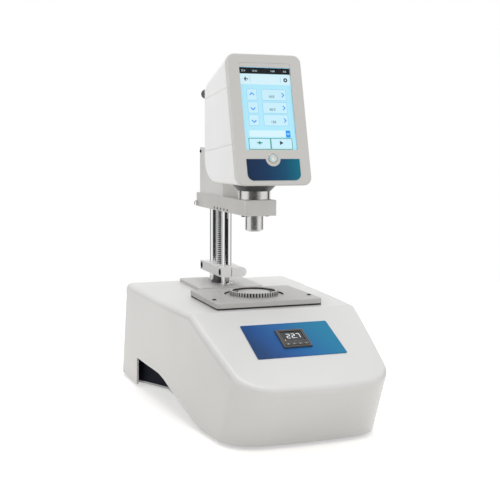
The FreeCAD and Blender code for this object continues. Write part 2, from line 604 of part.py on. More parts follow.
plate_foot = "size.stage_bore_dia / 2 - size.seat_gap"
keep(turned("measuring_plate", [
    ("0", "-size.stage_thickness + size.stage_recess_depth"),
    (plate_foot, "-size.stage_thickness + size.stage_recess_depth"), (plate_foot, "0"), ("size.plate_dia / 2", "0"),
    ("size.plate_dia / 2", "size.plate_height"), ("size.trough_dia / 2", "size.plate_height"),
    ("size.trough_dia / 2", "size.plate_height - size.trough_depth"),
    ("size.plate_land_dia / 2 + size.plate_land_run", "size.plate_height - size.trough_depth"),
    ("size.plate_land_dia / 2", "size.plate_height + size.plate_land_rise"),
    ("0", "size.plate_height + size.plate_land_rise")], z=recess_floor), "measuring_plate")

heater_top = "%s - size.stage_thickness + size.stage_recess_depth" % recess_floor
keep(turned("heater_block", [
    ("0", "-size.heater_height"), ("size.heater_dia / 2", "-size.heater_height"),
    ("size.heater_dia / 2", "-size.heater_edge"), ("size.heater_dia / 2 - size.heater_edge", "0"), ("0", "0")],
    z=heater_top), "heater_block")

sink = new_body("heat_sink")
sink_sketch = new_sketch(sink, "XY_Plane", "%s - size.heater_height - size.sink_base" % heater_top)
rectangle(sink_sketch, "-size.sink_half", "size.sink_half", "-size.sink_half", "size.sink_half")
pad(sink, sink_sketch, "size.sink_base")
fin_sketch = new_sketch(sink, "XY_Plane", "%s - size.heater_height - size.sink_base" % heater_top)
rectangle(fin_sketch, "-size.sink_half", "-size.sink_half + size.fin_width", "-size.sink_half", "size.sink_half")
fin = pad(sink, fin_sketch, "size.fin_height", reverse=True)
fins = sink.newObject("PartDesign::LinearPattern", "fin_pattern")
fins.Originals = [fin]
fins.Direction = (fin_sketch, ["H_Axis"])
fins.setExpression("Length", "2 * size.sink_half - size.fin_width")
fins.setExpression("Occurrences", "size.fin_count")
sink.Tip = fins
doc.recompute()
keep(sink, "heat_sink")

# Columns, clamp and lead screw

column_places = ["size.front_column_y", "size.rear_column_y"]
column_plate_top = "size.cover_top + size.column_plate_thickness"
bore = "size.column_dia + 2 * size.seat_gap"
screw_passage = "size.screw_dia + 2 * size.screw_clearance"
column_plate = plate("column_plate", corners("size.column_plate_half", "size.column_plate_front",
                                             "size.column_plate_rear"),
                     "size.cover_top", "size.column_plate_thickness",
                     holes=[("0", y, bore) for y in column_places] + [("0", "size.screw_y", screw_passage)])


def beside_columns(edge):
    return abs(edge.BoundBox.Center.x) > number("column_dia")


soften(column_plate, "size.column_plate_corner", lambda edge: upright(edge) and beside_columns(edge))
chamfer(column_plate, "size.stage_edge", lambda edge: level_at(number("cover_top") + number("column_plate_thickness"))(
    edge) and (beside_columns(edge) or edge.BoundBox.XLength > number("column_plate_half")))
keep(column_plate, "column_plate")

columns = new_body("guide_columns")
columns_sketch = new_sketch(columns, "XY_Plane", roof)
for y in column_places:
    circle(columns_sketch, "0", y, "size.column_dia")
pad(columns, columns_sketch, "size.column_top - (%s)" % roof)
chamfer(columns, "size.column_chamfer", level_at(number("column_top")))
keep(columns, "guide_columns")

collars = new_body("column_collars")
collar_sketch = new_sketch(collars, "XY_Plane", column_plate_top)
for y in column_places:
    circle(collar_sketch, "0", y, "size.collar_dia")
    circle(collar_sketch, "0", y, bore)
pad(collars, collar_sketch, "size.collar_height")
keep(collars, "column_collars")

clamp = new_body("clamp_block")
clamp_sketch = new_sketch(clamp, "XZ_Plane", "-size.clamp_rear")
rectangle(clamp_sketch, "-size.clamp_left", "size.clamp_right", "size.clamp_low", "size.clamp_low + size.clamp_height")
pad(clamp, clamp_sketch, "size.clamp_rear - size.clamp_front")
soften(clamp, "size.clamp_nose_round", lambda edge: abs(edge.BoundBox.XMin - number("clamp_right")) < 0.01
       and edge.BoundBox.YLength > number("column_dia"))
clamp_holes = new_sketch(clamp, "XY_Plane", "size.clamp_low + size.clamp_height")
for y in column_places:
    circle(clamp_holes, "0", y, bore)
circle(clamp_holes, "0", "size.screw_y", screw_passage)
pocket(clamp, clamp_holes, "size.clamp_height")
slit_sketch = new_sketch(clamp, "XY_Plane", "size.clamp_low + size.clamp_height")
for start, end in (("size.clamp_front - size.overcut", "size.front_column_y"),
                   ("size.rear_column_y", "size.clamp_rear + size.overcut")):
    rectangle(slit_sketch, "-size.clamp_slit / 2", "size.clamp_slit / 2", start, end)
pocket(clamp, slit_sketch, "size.clamp_height")
clamp_screw_places = ["size.clamp_front + size.clamp_screw_end", "size.clamp_rear - size.clamp_screw_end"]
clamp_middle = "size.clamp_low + size.clamp_height / 2"
for dia, depth in (("size.clamp_screw_head_dia + 2 * size.free_gap", "size.clamp_screw_head"),
                   ("size.clamp_screw_dia + 2 * size.seat_gap", "size.clamp_screw_head + size.clamp_screw_length")):
    seat_sketch = new_sketch(clamp, "YZ_Plane", "-size.clamp_left")
    for y in clamp_screw_places:
        circle(seat_sketch, y, clamp_middle, dia)
    pocket(clamp, seat_sketch, depth, reverse=True)
keep(clamp, "clamp_block")

clamp_screws = new_body("clamp_screws")
head_only = "size.clamp_screw_head - size.clamp_screw_sink"
for dia, length in (("size.clamp_screw_head_dia", head_only),
                    ("size.clamp_screw_dia", head_only + " + size.clamp_screw_length - size.clamp_screw_sink")):
    shank_sketch = new_sketch(clamp_screws, "YZ_Plane", "-size.clamp_left + size.clamp_screw_sink")
    for y in clamp_screw_places:
        circle(shank_sketch, y, clamp_middle, dia)
    pad(clamp_screws, shank_sketch, length)
keep(clamp_screws, "clamp_screws")

screw_bore = "size.screw_dia / 2 + size.fit_gap"
keep(turned("screw_bearing", [
    (screw_bore, "0"), ("size.bearing_flange_dia / 2", "0"),
    ("size.bearing_flange_dia / 2", "size.bearing_flange - size.bearing_edge"),
    ("size.bearing_flange_dia / 2 - size.bearing_edge", "size.bearing_flange"),
    ("size.bearing_dia / 2", "size.bearing_flange"), ("size.bearing_dia / 2", "size.bearing_height - size.bearing_edge"),
    ("size.bearing_dia / 2 - size.bearing_edge", "size.bearing_height"), (screw_bore, "size.bearing_height")],
    y="size.screw_y", z=column_plate_top), "screw_bearing")

keep(turned("lead_screw", [
    ("0", "%s - size.motor_shaft_depth" % deck_low),
    ("size.screw_journal_dia / 2", "%s - size.motor_shaft_depth" % deck_low),
    ("size.screw_journal_dia / 2", "size.cover_top"), ("size.screw_dia / 2", "size.cover_top + size.column_chamfer"),
    ("size.screw_dia / 2", "size.column_top - size.column_chamfer"),
    ("size.screw_dia / 2 - size.column_chamfer", "size.column_top"), ("0", "size.column_top")], y="size.screw_y"),
    "lead_screw")

motor = new_body("lift_motor")
motor_sketch = new_sketch(motor, "XY_Plane", deck_low)
rectangle(motor_sketch, "-size.motor_half", "size.motor_half", "size.screw_y - size.motor_half",
          "size.screw_y + size.motor_half")
pad(motor, motor_sketch, "size.motor_length", reverse=True)
chamfer(motor, "size.motor_corner", upright)
motor_bore = new_sketch(motor, "XY_Plane", deck_low)
circle(motor_bore, "0", "size.screw_y", "size.screw_journal_dia + 2 * size.fit_gap")
pocket(motor, motor_bore, "size.motor_shaft_depth + size.free_gap")
keep(motor, "lift_motor")

# Lift arm with its bushings and nut, and the hollow bracket behind the head

arm_top = "size.arm_low + size.arm_height"
arm = plate("lift_arm", corners("size.arm_half", "-size.arm_front", "size.arm_rear"), "size.arm_low", "size.arm_height",
            holes=[("0", "0", "size.nose_dia + 2 * size.seat_gap")]
            + [("0", y, "size.bushing_dia + 2 * size.seat_gap") for y in column_places]
            + [("0", "size.screw_y", "size.nut_dia + 2 * size.seat_gap")])
soften(arm, "size.arm_corner", lambda edge: upright(edge) and beside_columns(edge))
set_screw_sketch = new_sketch(arm, "YZ_Plane", "-size.arm_half")
set_screw_pitch = "(size.set_screw_last - size.set_screw_first) / (size.set_screw_count - 1)"
set_screw_count = int(number("set_screw_count"))
set_screw_places = ["size.set_screw_first + %d * %s" % (i, set_screw_pitch) for i in range(set_screw_count)]
for y in set_screw_places:
    circle(set_screw_sketch, y, "size.arm_low + size.set_screw_rise", "size.set_screw_dia")
pocket(arm, set_screw_sketch, "size.set_screw_depth", reverse=True)
nose_screw_sketch = new_sketch(arm, "XY_Plane", "size.arm_low")
for sign in ("", "-"):
    circle(nose_screw_sketch, sign + "size.nose_screw_x", "-size.nose_screw_y", "size.nose_screw_dia")
pocket(arm, nose_screw_sketch, "size.set_screw_depth", reverse=True)
knob_hole = new_sketch(arm, "YZ_Plane", "-size.arm_half")
circle(knob_hole, "size.knob_y", "size.arm_low + size.knob_rise", "size.knob_stud_dia + 2 * size.fit_gap")
pocket(arm, knob_hole, "size.knob_stud_length + size.free_gap", reverse=True)
keep(arm, "lift_arm")

bushings = new_body("column_bushings")
bushing_sketch = new_sketch(bushings, "XY_Plane", "size.arm_low")
for y in column_places:
    circle(bushing_sketch, "0", y, "size.bushing_dia")
    circle(bushing_sketch, "0", y, "size.column_dia + 2 * size.fit_gap")
pad(bushings, bushing_sketch, "size.arm_height")
keep(bushings, "column_bushings")

keep(turned("lift_nut", [(screw_bore, "0"), ("size.nut_dia / 2", "0"), ("size.nut_dia / 2", "size.arm_height"),
                         (screw_bore, "size.arm_height")], y="size.screw_y", z="size.arm_low"), "lift_nut")

bracket = new_body("head_bracket")
bracket_sketch = new_sketch(bracket, "XY_Plane", arm_top)
rectangle(bracket_sketch, "-size.bracket_half", "size.bracket_half", "size.bracket_front", "size.bracket_rear")
pad(bracket, bracket_sketch, "size.bracket_height")
arm_top_now = number("arm_low") + number("arm_height")
soften(bracket, "size.bracket_edge", lambda edge: edge.BoundBox.ZMax > arm_top_now + number("overcut"))
hollow_sketch = new_sketch(bracket, "XY_Plane", arm_top)
bracket_inside = "size.bracket_half - size.bracket_wall"
rectangle(hollow_sketch, "-size.bracket_half + size.bracket_wall", bracket_inside,
          "size.bracket_front + size.bracket_wall", "size.bracket_rear - size.bracket_wall")
pocket(bracket, hollow_sketch, "size.bracket_height - size.bracket_wall", reverse=True)
pad_sketch = new_sketch(bracket, "XZ_Plane", "-size.bracket_front - size.bracket_edge")
rectangle(pad_sketch, "-size.bracket_pad_half", "size.bracket_pad_half",
          arm_top + " + size.bracket_height - size.bracket_edge - size.bracket_pad_height",
          arm_top + " + size.bracket_height - size.bracket_edge")
pad(bracket, pad_sketch, "size.bracket_front + size.bracket_edge - size.head_rear")
keep(bracket, "head_bracket")

# Small screws of the arm: set screws in its side, two under the nose, one each side of the bracket
arm_screws = new_body("arm_screws")
side_screws = new_sketch(arm_screws, "YZ_Plane", "-size.arm_half + size.set_screw_sink")
for y in set_screw_places:
    circle(side_screws, y, "size.arm_low + size.set_screw_rise", "size.set_screw_dia - 2 * size.seat_gap")
pad(arm_screws, side_screws, "size.set_screw_depth - size.set_screw_sink")
under_screws = new_sketch(arm_screws, "XY_Plane", "size.arm_low + size.set_screw_depth")
for sign in ("", "-"):
    circle(under_screws, sign + "size.nose_screw_x", "-size.nose_screw_y", "size.nose_screw_dia - 2 * size.seat_gap")
pad(arm_screws, under_screws, "size.set_screw_depth + size.nose_screw_stand", reverse=True)
for sign, away in (("", False), ("-", True)):
    bracket_screw_sketch = new_sketch(arm_screws, "YZ_Plane", sign + "size.bracket_half")
    circle(bracket_screw_sketch, "size.bracket_rear - size.bracket_screw_in",
           arm_top + " + size.bracket_height - size.bracket_screw_in", "size.bracket_screw_dia")
    pad(arm_screws, bracket_screw_sketch, "size.small_screw_head", reverse=away)
keep(arm_screws, "arm_screws")

# Clamping knob: a ribbed head and a short stud in the arm's left side
keep(turned("lock_knob", [
    ("0", "-size.knob_stud_length"), ("size.knob_stud_dia / 2", "-size.knob_stud_length"),
    ("size.knob_stud_dia / 2", "size.free_gap"), ("size.knob_dia / 2 - size.knob_edge", "size.free_gap"),
    ("size.knob_dia / 2", "size.free_gap + size.knob_edge"), ("size.knob_dia / 2", "size.knob_length - size.knob_edge"),
    ("size.knob_dia / 2 - size.knob_edge", "size.knob_length"), ("0", "size.knob_length")],
    x="-size.arm_half", y="size.knob_y", z="size.arm_low + size.knob_rise", turn="-90", axis=(0, 1, 0)), "lock_knob")

# Neck, nose and spindle

neck_bore = "size.neck_bore_dia / 2"
keep(turned("neck_ring", [
    (neck_bore, "0"), ("size.neck_ring_dia / 2 - size.neck_edge", "0"), ("size.neck_ring_dia / 2", "size.neck_edge"),
    ("size.neck_ring_dia / 2", "size.neck_ring_height"), (neck_bore, "size.neck_ring_height")], z=arm_top), "neck_ring")
flange_low = arm_top + " + size.neck_ring_height"
flange_height = "size.head_low - (%s)" % flange_low
keep(turned("neck_flange", [
    (neck_bore, "0"), ("size.neck_ring_dia / 2", "0"), ("size.flange_dia / 2", flange_height + " - size.flange_rim"),
    ("size.flange_dia / 2", flange_height), (neck_bore, flange_height)], z=flange_low), "neck_flange")

nose_low = "size.arm_low - size.nose_length"
keep(turned("nose_sleeve", [
    ("size.nose_bore_dia / 2", "0"), ("size.nose_dia / 2 - size.nose_edge", "0"),
    ("size.nose_dia / 2 - size.nose_edge * 0.3", "size.nose_edge * 0.3"), ("size.nose_dia / 2", "size.nose_edge"),
    ("size.nose_dia / 2", "size.nose_length + size.arm_height"),
    ("size.nose_bore_dia / 2", "size.nose_length + size.arm_height")], z=nose_low), "nose_sleeve")

bearings = new_body("spindle_bearings")
for rise in ("size.arm_low + size.lower_bearing_rise - size.bearing_ring_height",
             arm_top + " - size.upper_bearing_drop - size.bearing_ring_height"):
    bearing_sketch = new_sketch(bearings, "XY_Plane", rise)
    circle(bearing_sketch, "0", "0", "size.nose_bore_dia - 2 * size.seat_gap")
    circle(bearing_sketch, "0", "0", "size.spindle_dia + 2 * size.fit_gap")
    pad(bearings, bearing_sketch, "size.bearing_ring_height")
keep(bearings, "spindle_bearings")

coupling_low = "size.coupling_lift"
rotor_low = "size.head_low + size.head_wall + size.rotor_lift - (%s)" % nose_low
spindle_radius = "size.spindle_dia / 2"
keep(turned("spindle", [
    ("0", coupling_low + " + size.cone_bore_depth"),
    ("size.cone_bore_dia / 2", coupling_low + " + size.cone_bore_depth"),
    ("size.cone_bore_dia / 2", coupling_low + " + size.cone_bore_edge"),
    ("size.cone_bore_dia / 2 + size.cone_bore_edge", coupling_low),
    ("size.coupling_dia / 2 - size.coupling_edge", coupling_low),
    ("size.coupling_dia / 2", coupling_low + " + size.coupling_edge"),
    ("size.coupling_dia / 2", coupling_low + " + size.coupling_length"),
    (spindle_radius, coupling_low + " + size.coupling_length"), (spindle_radius, rotor_low),
    ("size.rotor_dia / 2", rotor_low), ("size.rotor_dia / 2", rotor_low + " + size.rotor_height"),
    (spindle_radius, rotor_low + " + size.rotor_height"), (spindle_radius, "size.spindle_top - (%s)" % nose_low),
    ("0", "size.spindle_top - (%s)" % nose_low)], z=nose_low), "spindle")

stator_bore = "size.rotor_dia / 2 + size.free_gap"
keep(turned("motor_stator", [
    (stator_bore, "0"), ("size.stator_dia / 2", "0"), ("size.stator_dia / 2", "size.stator_height"),
    (stator_bore, "size.stator_height")], z="size.head_low + size.head_wall"), "motor_stator")

# Head housing: one side profile, rounded along its long edges, hollowed and parted into four shells

face_run = "tan(size.face_tilt)"


def face_at(height):
    # the face plane's place along Y at a height
    return "-size.face_y + (%s - size.display_low) * %s" % (height, face_run)


head_form = new_body("head_form")
head_sketch = new_sketch(head_form, "YZ_Plane")
outline(head_sketch, [
    (face_at("size.head_low"), "size.head_low"), ("size.head_rear", "size.head_low"),
    ("size.head_rear", "size.head_rear_top"),
    ("size.head_top_break", "size.head_rear_top + size.head_top_break_rise"),
    (face_at("size.head_front_top"), "size.head_front_top")])
pad(head_form, head_sketch, "2 * size.head_half", side="Symmetric")
soften(head_form, "size.head_heel_round", across_at(number("head_rear"), number("head_low")))
face_normal = Vector(0, -math.cos(math.radians(number("face_tilt"))), math.sin(math.radians(number("face_tilt"))))
face_point = Vector(0, -number("face_y"), number("display_low"))


def on_face_plane(edge):
    return all(abs((vertex.Point - face_point).dot(face_normal)) < 0.01 for vertex in edge.Vertexes)


def on_side(edge):
    box = edge.BoundBox
    return box.XLength < 0.01 and abs(abs(box.Center.x) - number("head_half")) < 0.01


soften(head_form, "size.head_side_round", lambda edge: on_side(edge) and not on_face_plane(edge))
soften(head_form, "size.head_face_round", on_face_plane)

head_inner_outline = doc.addObject("Part::Offset2D", "head_inner_outline")
head_inner_outline.Source = head_sketch
head_inner_outline.Join = 2
head_inner_outline.setExpression("Value", "-size.head_wall")
head_inside = doc.addObject("Part::Extrusion", "head_inside")
head_inside.Base = head_inner_outline
head_inside.DirMode = "Custom"
head_inside.Dir = Vector(1, 0, 0)
head_inside.Symmetric = True
head_inside.Solid = True
head_inside.setExpression("LengthFwd", "2 * (size.head_half - size.head_wall)")
doc.recompute()
head_cavity = doc.addObject("Part::Fillet", "head_cavity")
head_cavity.Base = head_inside
cavity_half = number("head_half") - number("head_wall")
heel_y, heel_z = number("head_rear") - number("head_wall"), number("head_low") + number("head_wall")
cavity_edges = []
for i, edge in enumerate(head_inside.Shape.Edges, 1):
    box = edge.BoundBox
    if across_at(heel_y, heel_z)(edge):
        heel_inner = number("head_heel_round") - number("head_wall")
        cavity_edges.append((i, heel_inner, heel_inner))
head_cavity.Edges = cavity_edges
doc.recompute()
head_cavity_round = doc.addObject("Part::Fillet", "head_cavity_round")
head_cavity_round.Base = head_cavity
side_inner = number("head_side_round") - number("head_wall")
head_cavity_round.Edges = [(i, side_inner, side_inner) for i, edge in enumerate(head_cavity.Shape.Edges, 1)
                           if edge.BoundBox.XLength < 0.01]
doc.recompute()

display_hole = turned_block("display_hole", ("-size.display_half - size.seam_gap", "-size.front_depth", "-size.seam_gap"),
                            ("size.display_half + size.seam_gap", "size.front_depth / 2",
                             "size.display_height + size.seam_gap"), on_face)
button_hole = turned("button_hole", [("0", "-size.front_depth"),
                                     ("size.button_ring_dia / 2 + size.seat_gap", "-size.front_depth"),
                                     ("size.button_ring_dia / 2 + size.seat_gap", "size.front_depth"),
                                     ("0", "size.front_depth")])
neck_hole = turned("neck_hole", [("0", "-size.head_wall"), ("size.neck_bore_dia / 2", "-size.head_wall"),
                                 ("size.neck_bore_dia / 2", "2 * size.head_wall"), ("0", "2 * size.head_wall")],
                   z="size.head_low")
head_shell = cut("head_shell", head_form, [head_cavity_round, display_hole, button_hole, neck_hole])


def on_button(piece):
    # local Z along the push button's axis, outwards from the tilted face
    return place(piece, y="-size.face_y - size.button_drop * sin(size.face_tilt)",
                 z="size.display_low - size.button_drop * cos(size.face_tilt)", turn="90 - size.face_tilt")


on_button(button_hole)


def slab(name, near, far):
    # a zone of the head between two distances behind the tilted face
    body = new_body(name)
    sketch = new_sketch(body, "YZ_Plane")
    edge_points = []
    for height, ends in (("size.arm_low", (near, far)), ("2 * size.head_front_top", (far, near))):
        for depth in ends:
            edge_points.append(("%s + (%s) / cos(size.face_tilt)" % (face_at(height), depth), height))
    outline(sketch, edge_points)
    pad(body, sketch, "4 * size.head_half", side="Symmetric")
    return body


def seam(name, low_line, high_line):
    # a zone of the head between two leaning seams, each a height at the rear face and an angle
    body = new_body(name)
    sketch = new_sketch(body, "YZ_Plane")
    reach = "2 * size.head_rear"
    line_points = []
    for (height, rise), order in ((low_line, (reach, "-" + reach)), (high_line, ("-" + reach, reach))):
        for y in order:
            line_points.append((y, "%s + (size.head_rear - (%s)) * tan(%s)" % (height, y, rise)))
    outline(sketch, line_points)
    pad(body, sketch, "4 * size.head_half", side="Symmetric")
    return body


def common(name, base, tool):
    result = doc.addObject("Part::Common", name)
    result.Base = base
    result.Tool = tool
    return result


keep(common("head_front", head_shell, slab("front_zone", "-size.front_depth", "size.front_depth")), "head_front")
head_back = cut("head_back", head_shell, [slab("front_clearance", "-size.front_depth",
                                               "size.front_depth + size.seam_gap")])
lower_line = ("size.lower_seam_rear", "size.lower_seam_rise")
middle_low_line = ("size.lower_seam_rear + size.seam_gap", "size.lower_seam_rise")
middle_high_line = ("size.upper_seam_rear", "size.upper_seam_rise")
upper_line = ("size.upper_seam_rear + size.seam_gap", "size.upper_seam_rise")
below = ("0", "0")
above = ("3 * size.head_low", "0")
for label, low_line, high_line in (("head_lower_cover", below, lower_line),
                                   ("head_middle_cover", middle_low_line, middle_high_line),
                                   ("head_top_cover", upper_line, above)):
    keep(common(label, head_back, seam(label + "_zone", low_line, high_line)), label)
doc.recompute()


# Display, label plate and push button

def face_plate(label, half, low, high, outer, inner):
    # a flat piece parallel to the face, between two depths behind it
    body = new_body(label)
    sketch = new_sketch(body, "XZ_Plane", "-(%s)" % outer)
    rectangle(sketch, "-(%s)" % half, half, low, high)
    pad(body, sketch, "(%s) - (%s)" % (inner, outer), reverse=True)
    on_face(body)
    return body


keep(face_plate("touch_glass", "size.display_half", "0", "size.display_height", "size.head_wall - size.glass_thickness",
                "size.head_wall"), "touch_glass")
keep(face_plate("display_module", "size.display_half + size.display_margin", "-size.display_margin",
                "size.display_height + size.display_margin", "size.head_wall",
                "size.head_wall + size.display_depth"), "display_module")
board = face_plate("head_board", "size.board_half", "size.display_height - size.board_height", "size.display_height",
                   "size.board_depth", "size.board_depth + size.board_thickness")
post_sketch = new_sketch(board, "XZ_Plane", "-size.head_wall - size.display_depth")
post_in = "size.board_post_dia"
for sign in ("", "-"):
    for z in ("size.display_height - size.board_height + " + post_in, "size.display_height - " + post_in):
        circle(post_sketch, "%s(size.board_half - %s)" % (sign, post_in), z, "size.board_post_dia")
pad(board, post_sketch, "size.board_depth - size.head_wall - size.display_depth", reverse=True)
keep(board, "head_board")

label_body = face_plate("label_plate", "size.label_half", "-size.label_low", "-size.label_top",
                        "-size.label_thickness", "0")
soften(label_body, "size.label_corner_round", lambda edge: edge.BoundBox.YLength > number("label_thickness") - 0.01
       and abs(edge.BoundBox.Center.z + number("label_low")) < 0.01)
notch_sketch = new_sketch(label_body, "XZ_Plane", "size.label_thickness")
circle(notch_sketch, "0", "-size.button_drop", "size.notch_dia")
pocket(label_body, notch_sketch, "size.label_thickness")
keep(label_body, "label_plate")

ring_hole = "size.button_dia / 2 + size.free_gap"
button_ring = keep(turned("button_ring", [
    (ring_hole, "-size.head_wall"), ("size.button_ring_dia / 2", "-size.head_wall"),
    ("size.button_ring_dia / 2", "size.button_ring_rise - size.button_edge"),
    ("size.button_ring_dia / 2 - size.button_edge", "size.button_ring_rise"), (ring_hole, "size.button_ring_rise")]),
    "button_ring")
on_button(button_ring)
power_button = keep(turned("power_button", [
    ("0", "size.button_rise - size.button_stem_length"),
    ("size.button_stem_dia / 2", "size.button_rise - size.button_stem_length"),
    ("size.button_stem_dia / 2", "-size.head_wall"), ("size.button_dia / 2", "-size.head_wall"),
    ("size.button_dia / 2", "size.button_rise - size.button_edge"),
    ("size.button_dia / 2 - size.button_edge", "size.button_rise"), ("0", "size.button_rise")]), "power_button")
on_button(power_button)

keep(turned("probe_socket", [
    ("0", "0"), ("size.socket_dia / 2", "0"), ("size.socket_dia / 2", "size.socket_collar"),
    ("size.socket_dia / 2 - size.socket_groove", "size.socket_collar + size.socket_groove"),
    ("size.socket_dia / 2 - size.socket_groove", "size.socket_length / 2"),
    ("size.socket_dia / 2", "size.socket_length / 2 + size.socket_groove"),
    ("size.socket_dia / 2", "size.socket_length - size.socket_edge"),
    ("size.socket_dia / 2 - size.socket_edge", "size.socket_length"), ("0", "size.socket_length")],
    x="-size.socket_x", y="size.head_rear", z="size.socket_z", turn="-90"), "probe_socket")


# Control panel and temperature controller, in the slope's frame

def slope_plate(label, half_x, half_y, low, high):
    body = new_body(label)
    sketch = new_sketch(body, "XY_Plane", low)
    rectangle(sketch, "-(%s)" % half_x, half_x, "-(%s)" % half_y, half_y)
    pad(body, sketch, "(%s) - (%s)" % (high, low))
    return body


body_hole = "size.controller_body_half + size.free_gap"
panel = slope_plate("control_panel", "size.panel_half", "size.panel_half_height", "0", "size.panel_thickness")
soften(panel, "size.panel_corner", upright)
panel_hole = new_sketch(panel, "XY_Plane", "size.panel_thickness")
rectangle(panel_hole, "-(%s)" % body_hole, body_hole, "-(%s)" % body_hole, body_hole)
pocket(panel, panel_hole, "size.panel_thickness")
keep(on_slope(panel), "control_panel")

keep(on_slope(slope_plate("controller_body", "size.controller_body_half", "size.controller_body_half",
                          "-size.controller_depth", "size.panel_thickness")), "controller_body")

bezel_top = "size.panel_thickness + size.controller_height"
bezel = slope_plate("controller_bezel", "size.controller_half", "size.controller_half", "size.panel_thickness", bezel_top)
bezel_top_now = number("panel_thickness") + number("controller_height")
chamfer(bezel, "size.controller_edge", level_at(bezel_top_now))
window_sketch = new_sketch(bezel, "XY_Plane", bezel_top)
rectangle(window_sketch, "-size.window_half", "size.window_half", "-size.window_low", "size.window_high")
pocket(bezel, window_sketch, "size.window_depth + size.window_thickness")
key_xs = ["%s * size.key_pitch" % step for step in ("-1.5", "-0.5", "0.5", "1.5")]
key_slots = new_sketch(bezel, "XY_Plane", bezel_top)
for x in key_xs:
    rectangle(key_slots, "%s - size.key_half_width - size.free_gap" % x, "%s + size.key_half_width + size.free_gap" % x,
              "-size.key_drop - size.key_half_height - size.free_gap",
              "-size.key_drop + size.key_half_height + size.free_gap")
pocket(bezel, key_slots, "size.key_height - size.key_rise + size.key_travel + size.free_gap")
keep(on_slope(bezel), "controller_bezel")

window = new_body("controller_window")
glass_sketch = new_sketch(window, "XY_Plane", bezel_top + " - size.window_depth - size.window_thickness")
rectangle(glass_sketch, "-size.window_half + size.seat_gap", "size.window_half - size.seat_gap",
          "-size.window_low + size.seat_gap", "size.window_high - size.seat_gap")
pad(window, glass_sketch, "size.window_thickness")
keep(on_slope(window), "controller_window")

for label, x in zip(("key_set", "key_left", "key_down", "key_up"), key_xs):
    key = new_body(label)
    key_sketch = new_sketch(key, "XY_Plane", bezel_top + " + size.key_rise - size.key_height")
    rectangle(key_sketch, "%s - size.key_half_width" % x, "%s + size.key_half_width" % x,
              "-size.key_drop - size.key_half_height", "-size.key_drop + size.key_half_height")
    pad(key, key_sketch, "size.key_height")
    soften(key, "size.key_half_height / 3", upright)
    keep(on_slope(key), label)


# Rear panel and what it carries, in the rear wall's frame

def rear_box(label, x, z, half_x, half_z, inner, outer):
    # a block through the rear panel between two distances along the wall's outward normal
    body = new_body(label)
    sketch = new_sketch(body, "XZ_Plane", "-(%s)" % outer)
    rectangle(sketch, "%s - %s" % (x, half_x), "%s + %s" % (x, half_x), "%s - %s" % (z, half_z),
              "%s + %s" % (z, half_z))
    pad(body, sketch, "(%s) - (%s)" % (outer, inner))
    return body


def rear_window(body, x, z, half_x, half_z, start, depth):
    sketch = new_sketch(body, "XZ_Plane", "-(%s)" % start)
    rectangle(sketch, "%s - %s" % (x, half_x), "%s + %s" % (x, half_x), "%s - %s" % (z, half_z),
              "%s + %s" % (z, half_z))
    return pocket(body, sketch, depth, reverse=True)


panel_face = "-size.cover_wall"
panel_back = "-size.cover_wall - size.rear_panel_thickness"
fan_x = "-size.fan_x"
rear_panel = rear_box("rear_panel", "0", "0", "(size.rear_hole_half + size.rear_panel_lap)",
                      "(size.rear_hole_half_height + size.rear_panel_lap)", panel_back, panel_face)
module = ("size.inlet_x", "0", "size.inlet_half", "(size.inlet_half_height + size.inlet_drop)")
data = ("size.data_x", "0", "size.data_half", "size.data_half_height")
for window in (module, data):
    rear_window(rear_panel, *window, panel_face, "size.rear_panel_thickness")
fan_opening = new_sketch(rear_panel, "XZ_Plane", "size.cover_wall")
circle(fan_opening, fan_x, "0", "size.fan_bore_dia")
pocket(rear_panel, fan_opening, "size.rear_panel_thickness", reverse=True)
keep(on_rear(rear_panel), "rear_panel")

# One block holds the mains inlet and the window of the rocker; a second block holds the data sockets
snug = " - size.seat_gap"
inlet_block = rear_box("inlet_block", module[0], module[1], module[2] + snug, "(%s%s)" % (module[3], snug),
                       panel_face + " - size.inlet_depth", panel_face + " + size.socket_lip")
rear_window(inlet_block, "size.inlet_x", "-size.inlet_drop", "size.inlet_half / 2", "size.inlet_half_height / 2",
            panel_face + " + size.socket_lip", "size.inlet_depth + size.socket_lip - size.socket_floor")
rear_window(inlet_block, "size.inlet_x", "size.rocker_place", "(size.rocker_half + size.free_gap)",
            "(size.rocker_half_height + size.free_gap)", panel_face + " + size.socket_lip",
            "size.rocker_depth + size.socket_lip")
pivot_hole = new_sketch(inlet_block, "YZ_Plane", "size.inlet_x")
circle(pivot_hole, panel_face + " - size.rocker_pivot", "size.rocker_place", "size.rocker_pin_dia + 2 * size.fit_gap")
pocket(inlet_block, pivot_hole, "2 * (size.rocker_half + size.rocker_pin_reach + size.free_gap)", "Symmetric")
data_block = rear_box("data_block", data[0], data[1], data[2] + snug, "(%s%s)" % (data[3], snug),
                      panel_face + " - size.data_depth", panel_face + " + size.socket_lip")
for sign in ("+", "-"):
    rear_window(data_block, "size.data_x %s size.data_half / 2" % sign, "0", "size.port_half", "size.port_half_height",
                panel_face + " + size.socket_lip", "size.data_depth + size.socket_lip - size.socket_floor")
sockets = doc.addObject("Part::Compound", "rear_sockets")
sockets.Links = [on_rear(inlet_block), on_rear(data_block)]
keep(sockets, "rear_sockets")

lean = "atan(%s)" % wall_fall


def rear_point(depth, rise):
    # world Y and Z of a point in the rear wall's frame
    y = "size.rear_reach - (size.rear_panel_z - size.foot_height) * %s + (%s) * cos(%s) - (%s) * sin(%s)"
    z = "size.rear_panel_z + (%s) * sin(%s) + (%s) * cos(%s)"
    return y % (wall_fall, depth, lean, rise, lean), z % (depth, lean, rise, lean)


